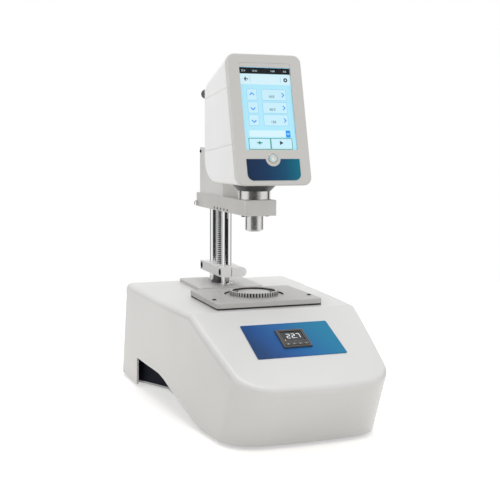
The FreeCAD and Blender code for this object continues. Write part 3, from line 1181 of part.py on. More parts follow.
# Rocker: a shallow V that turns on two round pins at its middle; it rests with its lower half pressed
rocker = new_body("mains_rocker")
rocker_sketch = new_sketch(rocker, "YZ_Plane")
rocker_half = "(size.rocker_half_height - size.rocker_slack)"
outline(rocker_sketch, [("-size.rocker_body", "-" + rocker_half), ("size.rocker_crest", "-" + rocker_half),
                        ("size.rocker_crest - size.rocker_dip", "0"), ("size.rocker_crest", rocker_half),
                        ("-size.rocker_body", rocker_half)])
pad(rocker, rocker_sketch, "2 * size.rocker_half", side="Symmetric")
pin_sketch = new_sketch(rocker, "YZ_Plane")
circle(pin_sketch, "0", "0", "size.rocker_pin_dia")
pad(rocker, pin_sketch, "2 * (size.rocker_half + size.rocker_pin_reach)", side="Symmetric")
pivot_y, pivot_z = rear_point(panel_face + " - size.rocker_pivot", "size.rocker_place")
place(rocker, x="size.inlet_x", y=pivot_y, z=pivot_z, turn="%s + size.rocker_turn * 1 deg" % lean)
keep(rocker, "mains_rocker")

fan = rear_box("fan_frame", fan_x, "0", "size.fan_half", "size.fan_half", panel_back + " - size.fan_depth", panel_back)
fan_bore = new_sketch(fan, "XZ_Plane", "-(%s)" % panel_back)
circle(fan_bore, fan_x, "0", "size.fan_bore_dia")
pocket(fan, fan_bore, "size.fan_depth", reverse=True)
fan_end = panel_back + " - size.fan_depth"
strut_sketch = new_sketch(fan, "XZ_Plane", "-(%s)" % fan_end)
strut_reach = "(size.fan_bore_dia / 2 + size.strut_root)"
rectangle(strut_sketch, "%s - %s" % (fan_x, strut_reach), "%s + %s" % (fan_x, strut_reach), "-size.fan_strut / 2",
          "size.fan_strut / 2")
pad(fan, strut_sketch, "size.fan_strut / 2")
hub_sketch = new_sketch(fan, "XZ_Plane", "-(%s)" % fan_end)
circle(hub_sketch, fan_x, "0", "size.fan_hub_dia")
pad(fan, hub_sketch, "size.fan_strut / 2")
keep(on_rear(fan), "fan_frame")

hub_height = "size.fan_depth - size.fan_strut"
rotor = turned("fan_rotor", [("0", "0"), ("size.fan_hub_dia / 2", "0"), ("size.fan_hub_dia / 2", hub_height),
                             ("size.fan_hub_dia / 2 - size.fan_hub_edge", hub_height + " + size.fan_hub_edge"),
                             ("0", hub_height + " + size.fan_hub_edge")])
blade_sketch = new_sketch(rotor, "XY_Plane", "size.fan_hub_edge")
blade_root = "size.fan_hub_dia / 2 - size.fan_hub_edge"
blade_tip = "size.fan_bore_dia / 2 - size.blade_gap"
tip_side = "-size.blade_start - size.blade_sweep"
outline(blade_sketch, [(blade_root, "-size.blade_start"), (blade_tip, tip_side),
                       (blade_tip, tip_side + " + size.blade_wall"), (blade_root, "-size.blade_start + size.blade_wall")])
blade = pad(rotor, blade_sketch, hub_height + " - size.fan_hub_edge")
blades = rotor.newObject("PartDesign::PolarPattern", "fan_blade_pattern")
blades.Originals = [blade]
blades.Axis = (blade_sketch, ["N_Axis"])
blades.Angle = 360
blades.setExpression("Occurrences", "size.fan_blades")
rotor.Tip = blades
rotor_y, rotor_z = rear_point(fan_end + " + size.free_gap", "0")
place(rotor, x=fan_x, y=rotor_y, z=rotor_z, turn=lean + " - 90 deg")
doc.recompute()
keep(rotor, "fan_rotor")

guard = new_body("fan_guard")
guard_sketch = new_sketch(guard, "XZ_Plane", "size.cover_wall")
guard_rings = int(number("guard_rings"))
for ring_number in range(1, guard_rings + 1):
    ring_size = "size.fan_bore_dia * %d / %d" % (ring_number, guard_rings)
    circle(guard_sketch, fan_x, "0", ring_size + " + size.guard_wire")
    circle(guard_sketch, fan_x, "0", ring_size + " - size.guard_wire")
pad(guard, guard_sketch, "size.guard_wire", reverse=True)
guard_reach = "size.fan_bore_dia / 2 + size.guard_lap"
for spoke in (("(%s)" % guard_reach, "size.guard_wire / 2"), ("size.guard_wire / 2", "(%s)" % guard_reach)):
    spoke_sketch = new_sketch(guard, "XZ_Plane", "size.cover_wall")
    rectangle(spoke_sketch, "%s - %s" % (fan_x, spoke[0]), "%s + %s" % (fan_x, spoke[0]), "-" + spoke[1], spoke[1])
    pad(guard, spoke_sketch, "size.guard_wire", reverse=True)
keep(on_rear(guard), "fan_guard")

# Screws: two in the stage plate and four at the rear panel's corners
stage_screws = new_body("stage_screws")
stage_screw_sketch = new_sketch(stage_screws, "XY_Plane", stage_top + " - size.stage_thickness / 2")
for sign in ("", "-"):
    circle(stage_screw_sketch, sign + "size.stage_screw_x", "-size.stage_screw_y", "size.stage_screw_dia" + snug)
pad(stage_screws, stage_screw_sketch, "size.stage_thickness / 2 - size.stage_screw_sink")
panel_screws = new_body("panel_screws")
panel_screw_sketch = new_sketch(panel_screws, "XZ_Plane")
for x_sign in ("", "-"):
    for z_sign in ("", "-"):
        circle(panel_screw_sketch, x_sign + "(size.rear_hole_half + size.rear_panel_lap / 2)",
               z_sign + "(size.rear_hole_half_height + size.rear_panel_lap / 2)", "size.small_screw_dia")
pad(panel_screws, panel_screw_sketch, "size.small_screw_head", reverse=True)
screws = doc.addObject("Part::Compound", "plate_screws")
screws.Links = [stage_screws, on_rear(panel_screws)]
keep(screws, "plate_screws")

# Boxes on the tray: the power supply and the control board on its posts
supply = new_body("power_supply")
supply_sketch = new_sketch(supply, "XY_Plane", tray_top)
supply_left = "-%s + size.supply_side" % chassis_inner
rectangle(supply_sketch, supply_left, supply_left + " + size.supply_width", "size.supply_front",
          "size.supply_front + size.supply_length")
pad(supply, supply_sketch, "size.supply_height")
keep(supply, "power_supply")

control_board = new_body("control_board")
board_right = "%s - size.supply_side" % chassis_inner
board_left = board_right + " - size.control_board_width"
post_sketch = new_sketch(control_board, "XY_Plane", tray_top)
for x in (board_left + " + size.board_post_dia", board_right + " - size.board_post_dia"):
    for y in ("size.supply_front + size.board_post_dia",
              "size.supply_front + size.control_board_length - size.board_post_dia"):
        circle(post_sketch, x, y, "size.board_post_dia")
pad(control_board, post_sketch, "size.board_rise")
slab_sketch = new_sketch(control_board, "XY_Plane", tray_top + " + size.board_rise")
rectangle(slab_sketch, board_left, board_right, "size.supply_front", "size.supply_front + size.control_board_length")
pad(control_board, slab_sketch, "size.board_thickness")
keep(control_board, "control_board")


# Checks, then one STEP file for each sub-part

doc.recompute()
for thing in doc.Objects:
    if "Invalid" in thing.State or "Error" in thing.State:
        raise RuntimeError("%s failed: %s" % (thing.Label, thing.State))
for piece in nodes:
    if piece.Shape.isNull() or not piece.Shape.isValid():
        raise RuntimeError("%s has no valid shape" % piece.Label)
os.makedirs("parts", exist_ok=True)
for piece in nodes:
    piece.Shape.exportStep("parts/%s.step" % piece.Label)
print(len(nodes), "sub-parts written")
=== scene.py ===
import json
from math import cos, pi, radians, sin

import bpy
from mathutils import Matrix, Vector


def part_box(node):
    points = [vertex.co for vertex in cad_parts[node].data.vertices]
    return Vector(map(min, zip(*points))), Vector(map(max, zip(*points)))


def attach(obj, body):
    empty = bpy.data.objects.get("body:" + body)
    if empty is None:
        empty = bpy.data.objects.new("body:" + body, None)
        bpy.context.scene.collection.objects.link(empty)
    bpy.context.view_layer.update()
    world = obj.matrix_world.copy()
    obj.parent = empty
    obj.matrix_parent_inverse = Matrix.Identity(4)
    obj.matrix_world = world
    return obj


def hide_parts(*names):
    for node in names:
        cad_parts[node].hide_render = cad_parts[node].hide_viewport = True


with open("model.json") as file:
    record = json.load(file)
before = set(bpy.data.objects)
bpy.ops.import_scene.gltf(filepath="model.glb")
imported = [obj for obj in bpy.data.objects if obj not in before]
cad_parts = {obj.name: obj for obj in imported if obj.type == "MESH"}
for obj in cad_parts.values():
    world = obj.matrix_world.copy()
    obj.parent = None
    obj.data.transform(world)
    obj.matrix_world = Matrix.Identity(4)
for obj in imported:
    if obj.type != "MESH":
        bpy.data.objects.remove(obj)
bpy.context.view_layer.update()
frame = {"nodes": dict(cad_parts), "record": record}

scene = bpy.context.scene
scene.view_settings.view_transform = "Standard"
cadNodes = frame["nodes"]
print("frame loaded,", len(cadNodes), "nodes")

# Camera, lamps, floor

camera = {
    "place": (-0.5808, -1.566, 0.4686),
    "yaw": 20.1,             # degrees, from +Y towards +X
    "pitch": -6.48,
    "roll": 0.3,
    "lens": 68.256,
    "sensor": 36.0,
}
studio = {
    "floorColor": (0.8, 0.785, 0.75),
    "floorSize": 2.6,
    "floorLift": 0.52,       # only for what the camera and mirrors see
    "skyLight": 0.74,        # what matt surfaces receive
    "leftShade": 0.9,        # how much of it comes from the left
    "flagHalfWidth": 42.0,   # degrees, the dark gap between the soft boxes that chrome shows
    "thinHalfWidth": 13.0,   # two narrow gaps, a third of a turn to each side
    "flagSoftness": 7.0,
    "flagAzimuth": -20.0,    # degrees, seen from the instrument
    "flagTop": (0.35, 0.6),  # the gaps fade out between these heights on the sky
    "flagDepth": 0.98,
    "leftRange": (-0.9, 0.1),
    "stain": (0.7, 0.7, 0.69),
    "stainScale": 3.0,
    "stainShare": 0.1,
}
lamps = {
    "top": {"place": (0.0, 0.5, 4.0), "aim": (0.0, 0.1, 0.2), "power": 42.0, "size": 2.4},
    "side": {"place": (-1.1, 0.0, 0.85), "aim": (0.0, 0.05, 0.52), "power": 0.22, "size": 0.5,
             "spread": 45.0},
    "front": {"place": (0.5, -2.6, 1.1), "aim": (0.0, 0.0, 0.3), "power": 7.5, "size": 1.6},
}


def cameraTurn():
    yaw, pitch, roll = (radians(camera[name]) for name in ("yaw", "pitch", "roll"))
    forward = Vector((sin(yaw) * cos(pitch), cos(yaw) * cos(pitch), sin(pitch)))
    right = Vector((cos(yaw), -sin(yaw), 0))
    up = right.cross(forward)
    across = cos(roll) * right + sin(roll) * up
    upright = -sin(roll) * right + cos(roll) * up
    return Matrix((across, upright, -forward)).transposed().to_4x4()


def addCamera():
    data = bpy.data.cameras.new("photoCamera")
    data.lens = camera["lens"]
    data.sensor_width = camera["sensor"]
    data.sensor_fit = "HORIZONTAL"
    data.clip_end = 50
    eye = bpy.data.objects.new("photoCamera", data)
    scene.collection.objects.link(eye)
    eye.matrix_world = Matrix.Translation(camera["place"]) @ cameraTurn()
    scene.camera = eye


def addLamps():
    for name, lamp in lamps.items():
        data = bpy.data.lights.new(name + "Lamp", "AREA")
        data.energy = lamp["power"]
        data.size = lamp["size"]
        data.shape = "DISK"
        data.spread = radians(lamp.get("spread", 180.0))
        thing = bpy.data.objects.new(name + "Lamp", data)
        scene.collection.objects.link(thing)
        place = Vector(lamp["place"])
        aim = (Vector(lamp["aim"]) - place).to_track_quat("-Z", "Y")
        thing.matrix_world = Matrix.Translation(place) @ aim.to_matrix().to_4x4()


# Shader helper: a socket with arithmetic, so that masks can be written as expressions

class Node:
    def __init__(self, tree, socket):
        self.tree = tree
        self.socket = socket

    def math(self, operation, *others):
        values = [self] + list(others)
        return self.tree.add("ShaderNodeMath", {"operation": operation}, dict(enumerate(values)))

    def __add__(self, other):
        return self.math("ADD", other)

    def __radd__(self, other):
        return self.math("ADD", other)

    def __sub__(self, other):
        return self.math("SUBTRACT", other)

    def __rsub__(self, other):
        return self.tree.value(other).math("SUBTRACT", self)

    def __mul__(self, other):
        return self.math("MULTIPLY", other)

    def __rmul__(self, other):
        return self.math("MULTIPLY", other)

    def __lt__(self, other):
        return self.math("LESS_THAN", other)

    def __gt__(self, other):
        return self.math("GREATER_THAN", other)


class Finish:
    # one material and its node tree
    def __init__(self, name, tree=None):
        self.material = None
        if tree is None:
            self.material = bpy.data.materials.new(name)
            self.material.use_nodes = True
            tree = self.material.node_tree
        tree.nodes.clear()
        self.nodes = tree.nodes
        self.links = tree.links

    def add(self, kind, settings=None, inputs=None, output=0):
        node = self.nodes.new(kind)
        for name, value in (settings or {}).items():
            if name == "stops":
                while len(node.color_ramp.elements) < len(value):
                    node.color_ramp.elements.new(0.5)
                for element, (place, colour) in zip(node.color_ramp.elements, value):
                    element.position = place
                    element.color = (*colour, 1.0)
            else:
                setattr(node, name, value)
        for key, value in (inputs or {}).items():
            self.feed(node.inputs[key], value)
        return Node(self, node.outputs[output]) if len(node.outputs) else node

    def feed(self, socket, value):
        if isinstance(value, Node):
            self.links.new(value.socket, socket)
        else:
            socket.default_value = value

    def value(self, number):
        return self.add("ShaderNodeMath", {"operation": "ADD"}, {0: number, 1: 0.0})

    def place(self, turn=(0, 0, 0), move=(0, 0, 0)):
        # object coordinates in metres; seen from a frame at move that is turned by turn
        coordinates = self.add("ShaderNodeTexCoord", output=3)
        if turn == (0, 0, 0) and move == (0, 0, 0):
            return coordinates
        return self.add("ShaderNodeMapping", {"vector_type": "TEXTURE"},
                        {"Vector": coordinates, "Location": move, "Rotation": turn})

    def apart(self, vector):
        split = self.nodes.new("ShaderNodeSeparateXYZ")
        self.links.new(vector.socket, split.inputs[0])
        return [Node(self, split.outputs[i]) for i in range(3)]

    def roundAxis(self, centre):
        # how far from an upright axis through centre, and the height above it
        x, y, z = self.apart(self.place(move=centre))
        return (x * x + y * y).math("SQRT"), z

    def stretched(self, vector, scale):
        return self.add("ShaderNodeVectorMath", {"operation": "MULTIPLY"}, {0: vector, 1: scale})

    def noise(self, vector, scale, detail=2):
        return self.add("ShaderNodeTexNoise", None, {"Vector": vector, "Scale": scale, "Detail": detail})

    def spread(self, value, low, high, toLow, toHigh):
        return self.add("ShaderNodeMapRange", None, {"Value": value, "From Min": low, "From Max": high,
                                                     "To Min": toLow, "To Max": toHigh})

    def fromNoise(self, noise, toLow, toHigh):
        # noise seldom leaves the middle of its range
        return self.spread(noise, 0.3, 0.7, toLow, toHigh)

    def blend(self, factor, first, second):
        mix = self.nodes.new("ShaderNodeMix")
        mix.data_type = "RGBA"
        self.feed(mix.inputs[0], factor)
        for index, colour in ((6, first), (7, second)):
            self.feed(mix.inputs[index], (*colour, 1.0) if isinstance(colour, tuple) else colour)
        return Node(self, mix.outputs[2])

    def shaded(self, factor, colour, share):
        # towards a darker tone of the same colour
        return self.blend(factor, colour, tuple(part * share for part in colour))

    def around(self, noise, level, reach):
        return self.fromNoise(noise, level - reach, level + reach)

    def bump(self, height, strength, distance):
        return self.add("ShaderNodeBump", None,
                        {"Height": height, "Strength": strength, "Distance": distance})

    def rays(self):
        # what the camera sees, what mirrors see, and both with what is seen through glass
        path = self.nodes.new("ShaderNodeLightPath")
        camera, glossy, through = (Node(self, path.outputs[name]) for name in
                                   ("Is Camera Ray", "Is Glossy Ray", "Is Transmission Ray"))
        return camera, glossy, camera.math("MAXIMUM", glossy).math("MAXIMUM", through)

    def surface(self, **sockets):
        names = {name.replace(" ", "").lower(): name for name in
                 ("Base Color", "Metallic", "Roughness", "Alpha", "Normal", "Coat Weight", "Coat Roughness",
                  "Emission Color", "Emission Strength", "Specular IOR Level")}
        inputs = {names[key.lower()]: value for key, value in sockets.items()}
        if isinstance(inputs["Base Color"], tuple):
            inputs["Base Color"] = (*inputs["Base Color"], 1.0)
        shader = self.add("ShaderNodeBsdfPrincipled", None, inputs)
        self.add("ShaderNodeOutputMaterial", None, {"Surface": shader})
        return self.material


def addWorld():
    world = bpy.data.worlds.new("studio")
    world.use_nodes = True
    scene.world = world
    sky = Finish("studio", world.node_tree)
    x, y, z = sky.apart(sky.add("ShaderNodeTexCoord", output=0))
    azimuth = x.math("ARCTAN2", 0 - y)         # 0 towards -Y, positive towards +X
    turned = azimuth - radians(studio["flagAzimuth"])
    half, soft, thin = (radians(studio[name]) for name in ("flagHalfWidth", "flagSoftness", "thinHalfWidth"))
    wide = sky.spread(turned.math("COSINE"), cos(half + soft), cos(half - soft), 0.0, 1.0)
    narrow = sky.spread((turned * 3).math("COSINE"), cos(3 * thin + soft), cos(3 * thin - soft), 0.0, 1.0)
    dark = wide.math("MAXIMUM", narrow)
    low = sky.spread(z, *studio["flagTop"], 1.0, 0.0)
    isCamera, isGlossy, seen = sky.rays()
    flag = dark * low * isGlossy * (1 - isCamera)
    fromLeft = sky.spread(x, *studio["leftRange"], studio["leftShade"], 1.0)
    matt = fromLeft * studio["skyLight"]
    level = (matt + seen * (1.0 - matt)) * (1 - flag * studio["flagDepth"])
    glow = sky.add("ShaderNodeBackground", None, {"Color": (1, 1, 1, 1), "Strength": level})
    sky.add("ShaderNodeOutputWorld", None, {"Surface": glow})


def addFloor():
    bpy.ops.mesh.primitive_plane_add(size=studio["floorSize"], location=(0, 0, 0))
    floor = bpy.context.object
    floor.name = "floor"
    ground = Finish("floor")
    tone = ground.noise(ground.place(), studio["stainScale"])
    colour = ground.blend(tone * studio["stainShare"], studio["floorColor"], studio["stain"])
    matt = ground.add("ShaderNodeBsdfDiffuse", None, {"Color": colour})
    lift = ground.rays()[2] * studio["floorLift"]
    glow = ground.add("ShaderNodeEmission", None, {"Color": (1, 1, 1, 1), "Strength": lift})
    both = ground.add("ShaderNodeAddShader", None, {0: matt, 1: glow})
    ground.add("ShaderNodeOutputMaterial", None, {"Surface": both})
    floor.data.materials.append(ground.material)


addCamera()
addLamps()
addWorld()
addFloor()
print("studio ready")

# Finishes

grains = {
    "sprayedPaint": 900,     # the scales of the noise in each finish
    "paintCloud": 7,
    "blastBeads": 2600,
    "blastCloud": 14,
    "turning": 1500,
    "streaks": (60, 60, 900),
    "leather": 1600,
    "zincFlakes": 90.0,
    "smears": 30,
    "dots": 5200,
    "wires": 6000,
}


def paintedShell(name, colour, grain=0.06, roughness=0.38):
    finish = Finish(name)
    place = finish.place()
    orange = finish.noise(place, grains["sprayedPaint"], detail=1)
    broad = finish.noise(place, grains["paintCloud"])
    mixed = finish.shaded(finish.spread(broad, 0.35, 0.65, 0, 1), colour, share=0.965)
    rough = finish.around(orange, roughness, reach=0.04)
    relief = finish.bump(orange, grain, distance=0.0002)
    return finish.surface(baseColor=mixed, roughness=rough, normal=relief, coatWeight=0.15,
                          coatRoughness=0.2)


def blastedMetal(name, colour, roughness=0.42, metallic=0.85, shine=0.5, faces=()):
    # some faces may be painted another tone, as painted light or shade: each is given by its axis and the
    # limit that it lies below
    finish = Finish(name)
    place = finish.place()
    beads = finish.noise(place, grains["blastBeads"], detail=1)
    broad = finish.noise(place, grains["blastCloud"])
    mixed = finish.shaded(finish.fromNoise(broad, toLow=0, toHigh=1), colour, share=0.93)
    for axis, limit, tone in faces:
        mixed = finish.blend(finish.apart(place)[axis] < limit, mixed, tone)
    rough = finish.around(beads, roughness, reach=0.06)
    return finish.surface(baseColor=mixed, metallic=metallic, roughness=rough, specularIORLevel=shine,
                          normal=finish.bump(beads, strength=0.12, distance=0.0001))


def turnedMetal(name, colour, centre, roughness=0.28, rings=9000.0):
    # fine rings about an upright axis through centre
    finish = Finish(name)
    radius, z = finish.roundAxis(centre)
    line = (radius * rings + z * rings).math("SINE")
    fine = finish.noise(finish.place(), grains["turning"], detail=1)
    mixed = finish.shaded(finish.spread(line, -1, 1, 0, 0.4), colour, share=0.85)
    rough = finish.around(fine, roughness, reach=0.05)
    return finish.surface(baseColor=mixed, metallic=1.0, roughness=rough,
                          normal=finish.bump(line, strength=0.03, distance=0.00005))


def shadedGrooveThread(name, crest, root, centre, rootRadius, crestRadius):
    # bright crests, and grooves painted dark as painted shade
    finish = Finish(name)
    radius = finish.roundAxis(centre)[0]
    height = finish.spread(radius, rootRadius, crestRadius, 0, 1)
    mixed = finish.blend(height, root, crest)
    rough = finish.spread(height, 0, 1, toLow=0.5, toHigh=0.22)
    return finish.surface(baseColor=mixed, metallic=0.9, roughness=rough)


toothedRing = {
    "bore": 0.0395,
    "slotRadius": 0.0437,    # the slots lie inside it, the teeth's faces outside
    "slotDrop": 0.0002,      # below the ring's top
    "boreDrop": 0.0018,
    "metal": (0.6, 0.595, 0.58),
    # painted shade for the bore and the slots
    "black": (0.02, 0.02, 0.02),
}


def groovedRing(name, top):
    # a turned ring: its bore and the slots between its teeth are painted black as shade, its crown and teeth
    # are bare metal
    innerRadius, outerRadius = toothedRing["bore"], toothedRing["slotRadius"]
    metal = toothedRing["metal"]
    finish = Finish(name)
    radius, z = finish.roundAxis((0, 0, 0))
    beads = finish.noise(finish.place(), grains["blastBeads"], detail=1)
    slots = (radius < outerRadius) * (radius > innerRadius) * (z < top - toothedRing["slotDrop"])
    shadedHollows = slots.math("MAXIMUM", (radius < innerRadius) * (z < top - toothedRing["boreDrop"]))
    bare = finish.shaded(beads * 0.2, metal, share=0.9)
    mixed = finish.blend(shadedHollows, bare, toothedRing["black"])
    rough = finish.fromNoise(beads, toLow=0.36, toHigh=0.48)
    return finish.surface(baseColor=mixed, metallic=0.4, roughness=rough,
                          normal=finish.bump(beads, strength=0.12, distance=0.0001))


def polishedMetal(name, colour=(0.82, 0.82, 0.83), roughness=0.06):
    finish = Finish(name)
    streak = finish.noise(finish.stretched(finish.place(), grains["streaks"]), 1.0, detail=1)
    rough = finish.fromNoise(streak, roughness - 0.02, roughness + 0.04)
    mixed = finish.shaded(finish.fromNoise(streak, toLow=0, toHigh=0.3), colour, share=0.93)
    return finish.surface(baseColor=mixed, metallic=1.0, roughness=rough)


def mouldedPlastic(name, colour, roughness=0.5, grain=0.15, shine=0.5):
    finish = Finish(name)
    leather = finish.noise(finish.place(), grains["leather"])
    mixed = finish.shaded(finish.fromNoise(leather, toLow=0, toHigh=1), colour, share=0.85)
    rough = finish.around(leather, roughness, reach=0.06)
    return finish.surface(baseColor=mixed, roughness=rough, specularIORLevel=shine,
                          normal=finish.bump(leather, grain, distance=0.0002))


def rubber(name, colour=(0.03, 0.03, 0.032)):
    return mouldedPlastic(name, colour, 0.75, 0.3)


def galvanised(name):
    finish = Finish(name)
    flakes = finish.add("ShaderNodeTexVoronoi", {"feature": "F1"},
                        {"Vector": finish.place(), "Scale": grains["zincFlakes"]}, 1)
    tone = finish.apart(flakes)[0]
    mixed = finish.blend(tone, (0.6, 0.61, 0.62), (0.48, 0.49, 0.51))
    rough = finish.spread(tone, 0, 1, toLow=0.38, toHigh=0.55)
    return finish.surface(baseColor=mixed, metallic=0.9, roughness=rough)


def circuitBoard(name, trackPitch=1400, crossPitch=900, narrow=0.35):
    finish = Finish(name)
    x, y, z = finish.apart(finish.place())
    crossings = (y * crossPitch + z * crossPitch).math("SINE")
    tracks = ((x * trackPitch).math("SINE") * crossings) > narrow
    mixed = finish.blend(tracks, (0.02, 0.13, 0.06), (0.04, 0.22, 0.1))
    return finish.surface(baseColor=mixed, roughness=finish.spread(tracks, 0, 1, toLow=0.45, toHigh=0.35),
                          normal=finish.bump(tracks, strength=0.1, distance=0.0001))


def windings(name, centre):
    finish = Finish(name)
    wire = (finish.apart(finish.place(move=centre))[2] * grains["wires"]).math("SINE")
    mixed = finish.blend(finish.spread(wire, -1, 1, 0, 1), (0.5, 0.22, 0.09), (0.25, 0.1, 0.04))
    return finish.surface(baseColor=mixed, roughness=0.35,
                          normal=finish.bump(wire, strength=0.3, distance=0.0002))


def printedFoil(name, turn, move, stops, halfWidth, slant=0.35):
    # a gradient from left to right with a fine dot screen, as printed film has
    finish = Finish(name)
    x, y, z = finish.apart(finish.place(turn, move))
    way = finish.spread(x + y * slant, -halfWidth, halfWidth, 0, 1)
    dots = (x * grains["dots"]).math("SINE") * ((y + z) * grains["dots"]).math("SINE")
    colour = finish.add("ShaderNodeValToRGB", {"stops": stops}, {"Fac": way})
    light = finish.blend(finish.spread(dots, 0.4, 0.9, 0, 0.08), colour, (0.2, 0.5, 0.75))
    return finish.surface(baseColor=light, roughness=finish.spread(dots, -1, 1, toLow=0.3, toHigh=0.36),
                          specularIORLevel=0.12)


backlight = (0.46, 0.62)     # heights between which a lit picture darkens a little


def litScreen(name, colour, strength=0.36):
    # a lit picture element: even, with the faint fall-off of a backlight
    finish = Finish(name)
    fade = finish.spread(finish.apart(finish.place())[2], *backlight, 0, 1)
    mixed = finish.shaded(fade, colour, share=0.94)
    return finish.surface(baseColor=mixed, roughness=0.35, emissionColor=mixed, emissionStrength=strength,
                          specularIORLevel=0.2)


def clearGlass(name, alpha=0.12):
    finish = Finish(name)
    smear = finish.noise(finish.place(), grains["smears"])
    rough = finish.fromNoise(smear, toLow=0.03, toHigh=0.07)
    return finish.surface(baseColor=(0.03, 0.035, 0.04), roughness=rough, specularIORLevel=0.3, alpha=alpha)


tilt = radians(15.3)
slope = radians(22.8)
faceFrame = (-tilt, 0.0, 0.0)
slopeFrame = (slope, 0.0, 0.0)
screwAxis = (0.0, 0.1895, 0.0)
spindleAxis = (0.0, 0.0, 0.0)
statorAxis = (0.0, 0.0, 0.42)
bracketLength = 0.139
paintedFaceDepth = 0.0006                # how deep a face's painted light or shade reaches


def middle(node):
    low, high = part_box(node)
    return tuple((a + b) / 2 for a, b in zip(low, high))


whitePaint = paintedShell("whitePaint", (0.73, 0.727, 0.72))
headPaint = paintedShell("headPaint", (0.87, 0.877, 0.88))
# the head's front is the same white cover, painted darker and warmer than its sides as painted shade
shadedFrontPaint = paintedShell("headFrontShadedPaint", (0.62, 0.612, 0.59))
trayPaint = paintedShell("trayPaint", (0.62, 0.63, 0.64), 0.1, 0.45)
aluminium = blastedMetal("satinAluminium", (0.62, 0.615, 0.6), 0.5, 0.4)
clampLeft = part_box("clamp_block")[0][0]
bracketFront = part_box("head_bracket")[1][1] - bracketLength
# the clamp block is painted near white as if lit, and its left face darker as painted shade
clampMetal = blastedMetal("clampAluminium", (0.95, 0.945, 0.94), 0.45, 0.0,
                          faces=[(0, clampLeft + paintedFaceDepth, (0.66, 0.66, 0.66))])
# the bracket's front face lies in the head's shadow and is painted a pale warm tone as painted light
bracketMetal = blastedMetal("bracketAluminium", (0.68, 0.675, 0.665), 0.5, 0.1,
                            faces=[(1, bracketFront + paintedFaceDepth, (0.95, 0.93, 0.9))])
stageMetal = blastedMetal("stageAluminium", (0.53, 0.525, 0.51), 0.5, 0.4)
ringMetal = groovedRing("ringAluminium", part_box("plate_ring")[1][2])
panelMetal = blastedMetal("panelMetal", (0.6, 0.6, 0.6), 0.5)
chrome = polishedMetal("brightChrome")
steelScrew = shadedGrooveThread("leadScrewSteel", (0.8, 0.8, 0.8), (0.05, 0.05, 0.05), screwAxis, 0.0064, 0.0076)
plateSteel = turnedMetal("groundPlateSteel", (0.5, 0.495, 0.48), spindleAxis, 0.34)
noseSteel = turnedMetal("noseSteel", (0.68, 0.675, 0.665), spindleAxis, 0.24, 14000.0)
screwSteel = blastedMetal("screwSteel", (0.5, 0.5, 0.51), 0.3, 1.0)
blackOxide = blastedMetal("blackOxide", (0.008, 0.008, 0.009), 0.5, 0.0, 0.1)
darkCoat = blastedMetal("darkCoat", (0.1, 0.1, 0.105), 0.42, 0.7)
brass = turnedMetal("brass", (0.72, 0.52, 0.24), spindleAxis, 0.25)
goldRing = polishedMetal("goldRing", (0.42, 0.38, 0.31), 0.22)
blackPlastic = mouldedPlastic("blackPlastic", (0.035, 0.035, 0.038))
caseGrey = mouldedPlastic("caseGrey", (0.035, 0.034, 0.033), 0.45)
keyGrey = mouldedPlastic("keyGrey", (0.07, 0.07, 0.07), 0.35)
blackRubber = rubber("blackRubber")
# near black for the arch liners, painted shade for the dark inside the arches
archShadeBlack = mouldedPlastic("archShadeBlack", (0.009, 0.011, 0.02), 0.6, shine=0.12)
darkWindow = mouldedPlastic("darkWindow", (0.008, 0.009, 0.013), 0.22, 0.02)
sheetZinc = galvanised("sheetZinc")
boardGreen = circuitBoard("boardGreen")
copper = windings("copperWindings", statorAxis)
panelFoil = printedFoil("panelFoil", slopeFrame, middle("control_panel"),
                        [(0.0, (0.012, 0.05, 0.16)), (0.2, (0.013, 0.08, 0.28)), (0.5, (0.012, 0.13, 0.37)),
                         (0.8, (0.01, 0.19, 0.37)), (1.0, (0.01, 0.21, 0.38))], 0.076)
labelFoil = printedFoil("labelFoil", faceFrame, middle("label_plate"),
                        [(0.0, (0.006, 0.022, 0.07)), (0.35, (0.008, 0.038, 0.11)),
                         (0.7, (0.006, 0.08, 0.17)), (1.0, (0.003, 0.17, 0.25))], 0.048)
cyanGlow = litScreen("cyanGlow", (0.45, 0.84, 1.0), 0.36)
glass = clearGlass("touchGlass")

finishOf = {
    "base_cover": whitePaint, "bottom_tray": trayPaint, "rubber_feet": blackRubber,
    "arch_liners": archShadeBlack, "chassis_frame": sheetZinc, "plate_gasket": blackRubber,
    "stage_plate": stageMetal, "plate_ring": ringMetal, "measuring_plate": plateSteel,
    "heater_block": brass, "heat_sink": aluminium, "column_plate": aluminium, "guide_columns": chrome,
    "column_collars": chrome, "clamp_block": clampMetal, "clamp_screws": blackOxide,
    "screw_bearing": darkCoat, "lead_screw": steelScrew, "lift_motor": darkCoat, "lift_arm": aluminium,
    "column_bushings": brass, "lift_nut": brass, "head_bracket": bracketMetal, "arm_screws": blackOxide,
    "lock_knob": chrome, "neck_ring": noseSteel, "neck_flange": darkCoat, "nose_sleeve": noseSteel,
    "spindle_bearings": screwSteel, "spindle": screwSteel, "motor_stator": copper,
    "head_front": shadedFrontPaint, "head_lower_cover": headPaint, "head_middle_cover": headPaint,
    "head_top_cover": headPaint, "touch_glass": glass, "display_module": cyanGlow,
    "head_board": boardGreen, "label_plate": labelFoil, "button_ring": goldRing, "power_button": chrome,
    "probe_socket": blackPlastic, "control_panel": panelFoil, "controller_body": caseGrey,
    "controller_bezel": caseGrey, "controller_window": darkWindow, "key_set": keyGrey,
    "key_left": keyGrey, "key_down": keyGrey, "key_up": keyGrey, "rear_panel": panelMetal,
    "rear_sockets": blackPlastic, "mains_rocker": blackPlastic, "fan_frame": blackPlastic,
    "fan_guard": screwSteel, "fan_rotor": blackPlastic, "plate_screws": screwSteel,
    "power_supply": sheetZinc, "control_board": boardGreen,
}
for name, finish in finishOf.items():
    slots = cadNodes[name].data.materials
    for index in range(len(slots)):
        slots[index] = finish
    if not len(slots):
        slots.append(finish)
print("finishes on", len(finishOf), "nodes")

# Modelling helpers. A flat piece is made in a frame with X right, Y up and Z out of the surface it lies on.

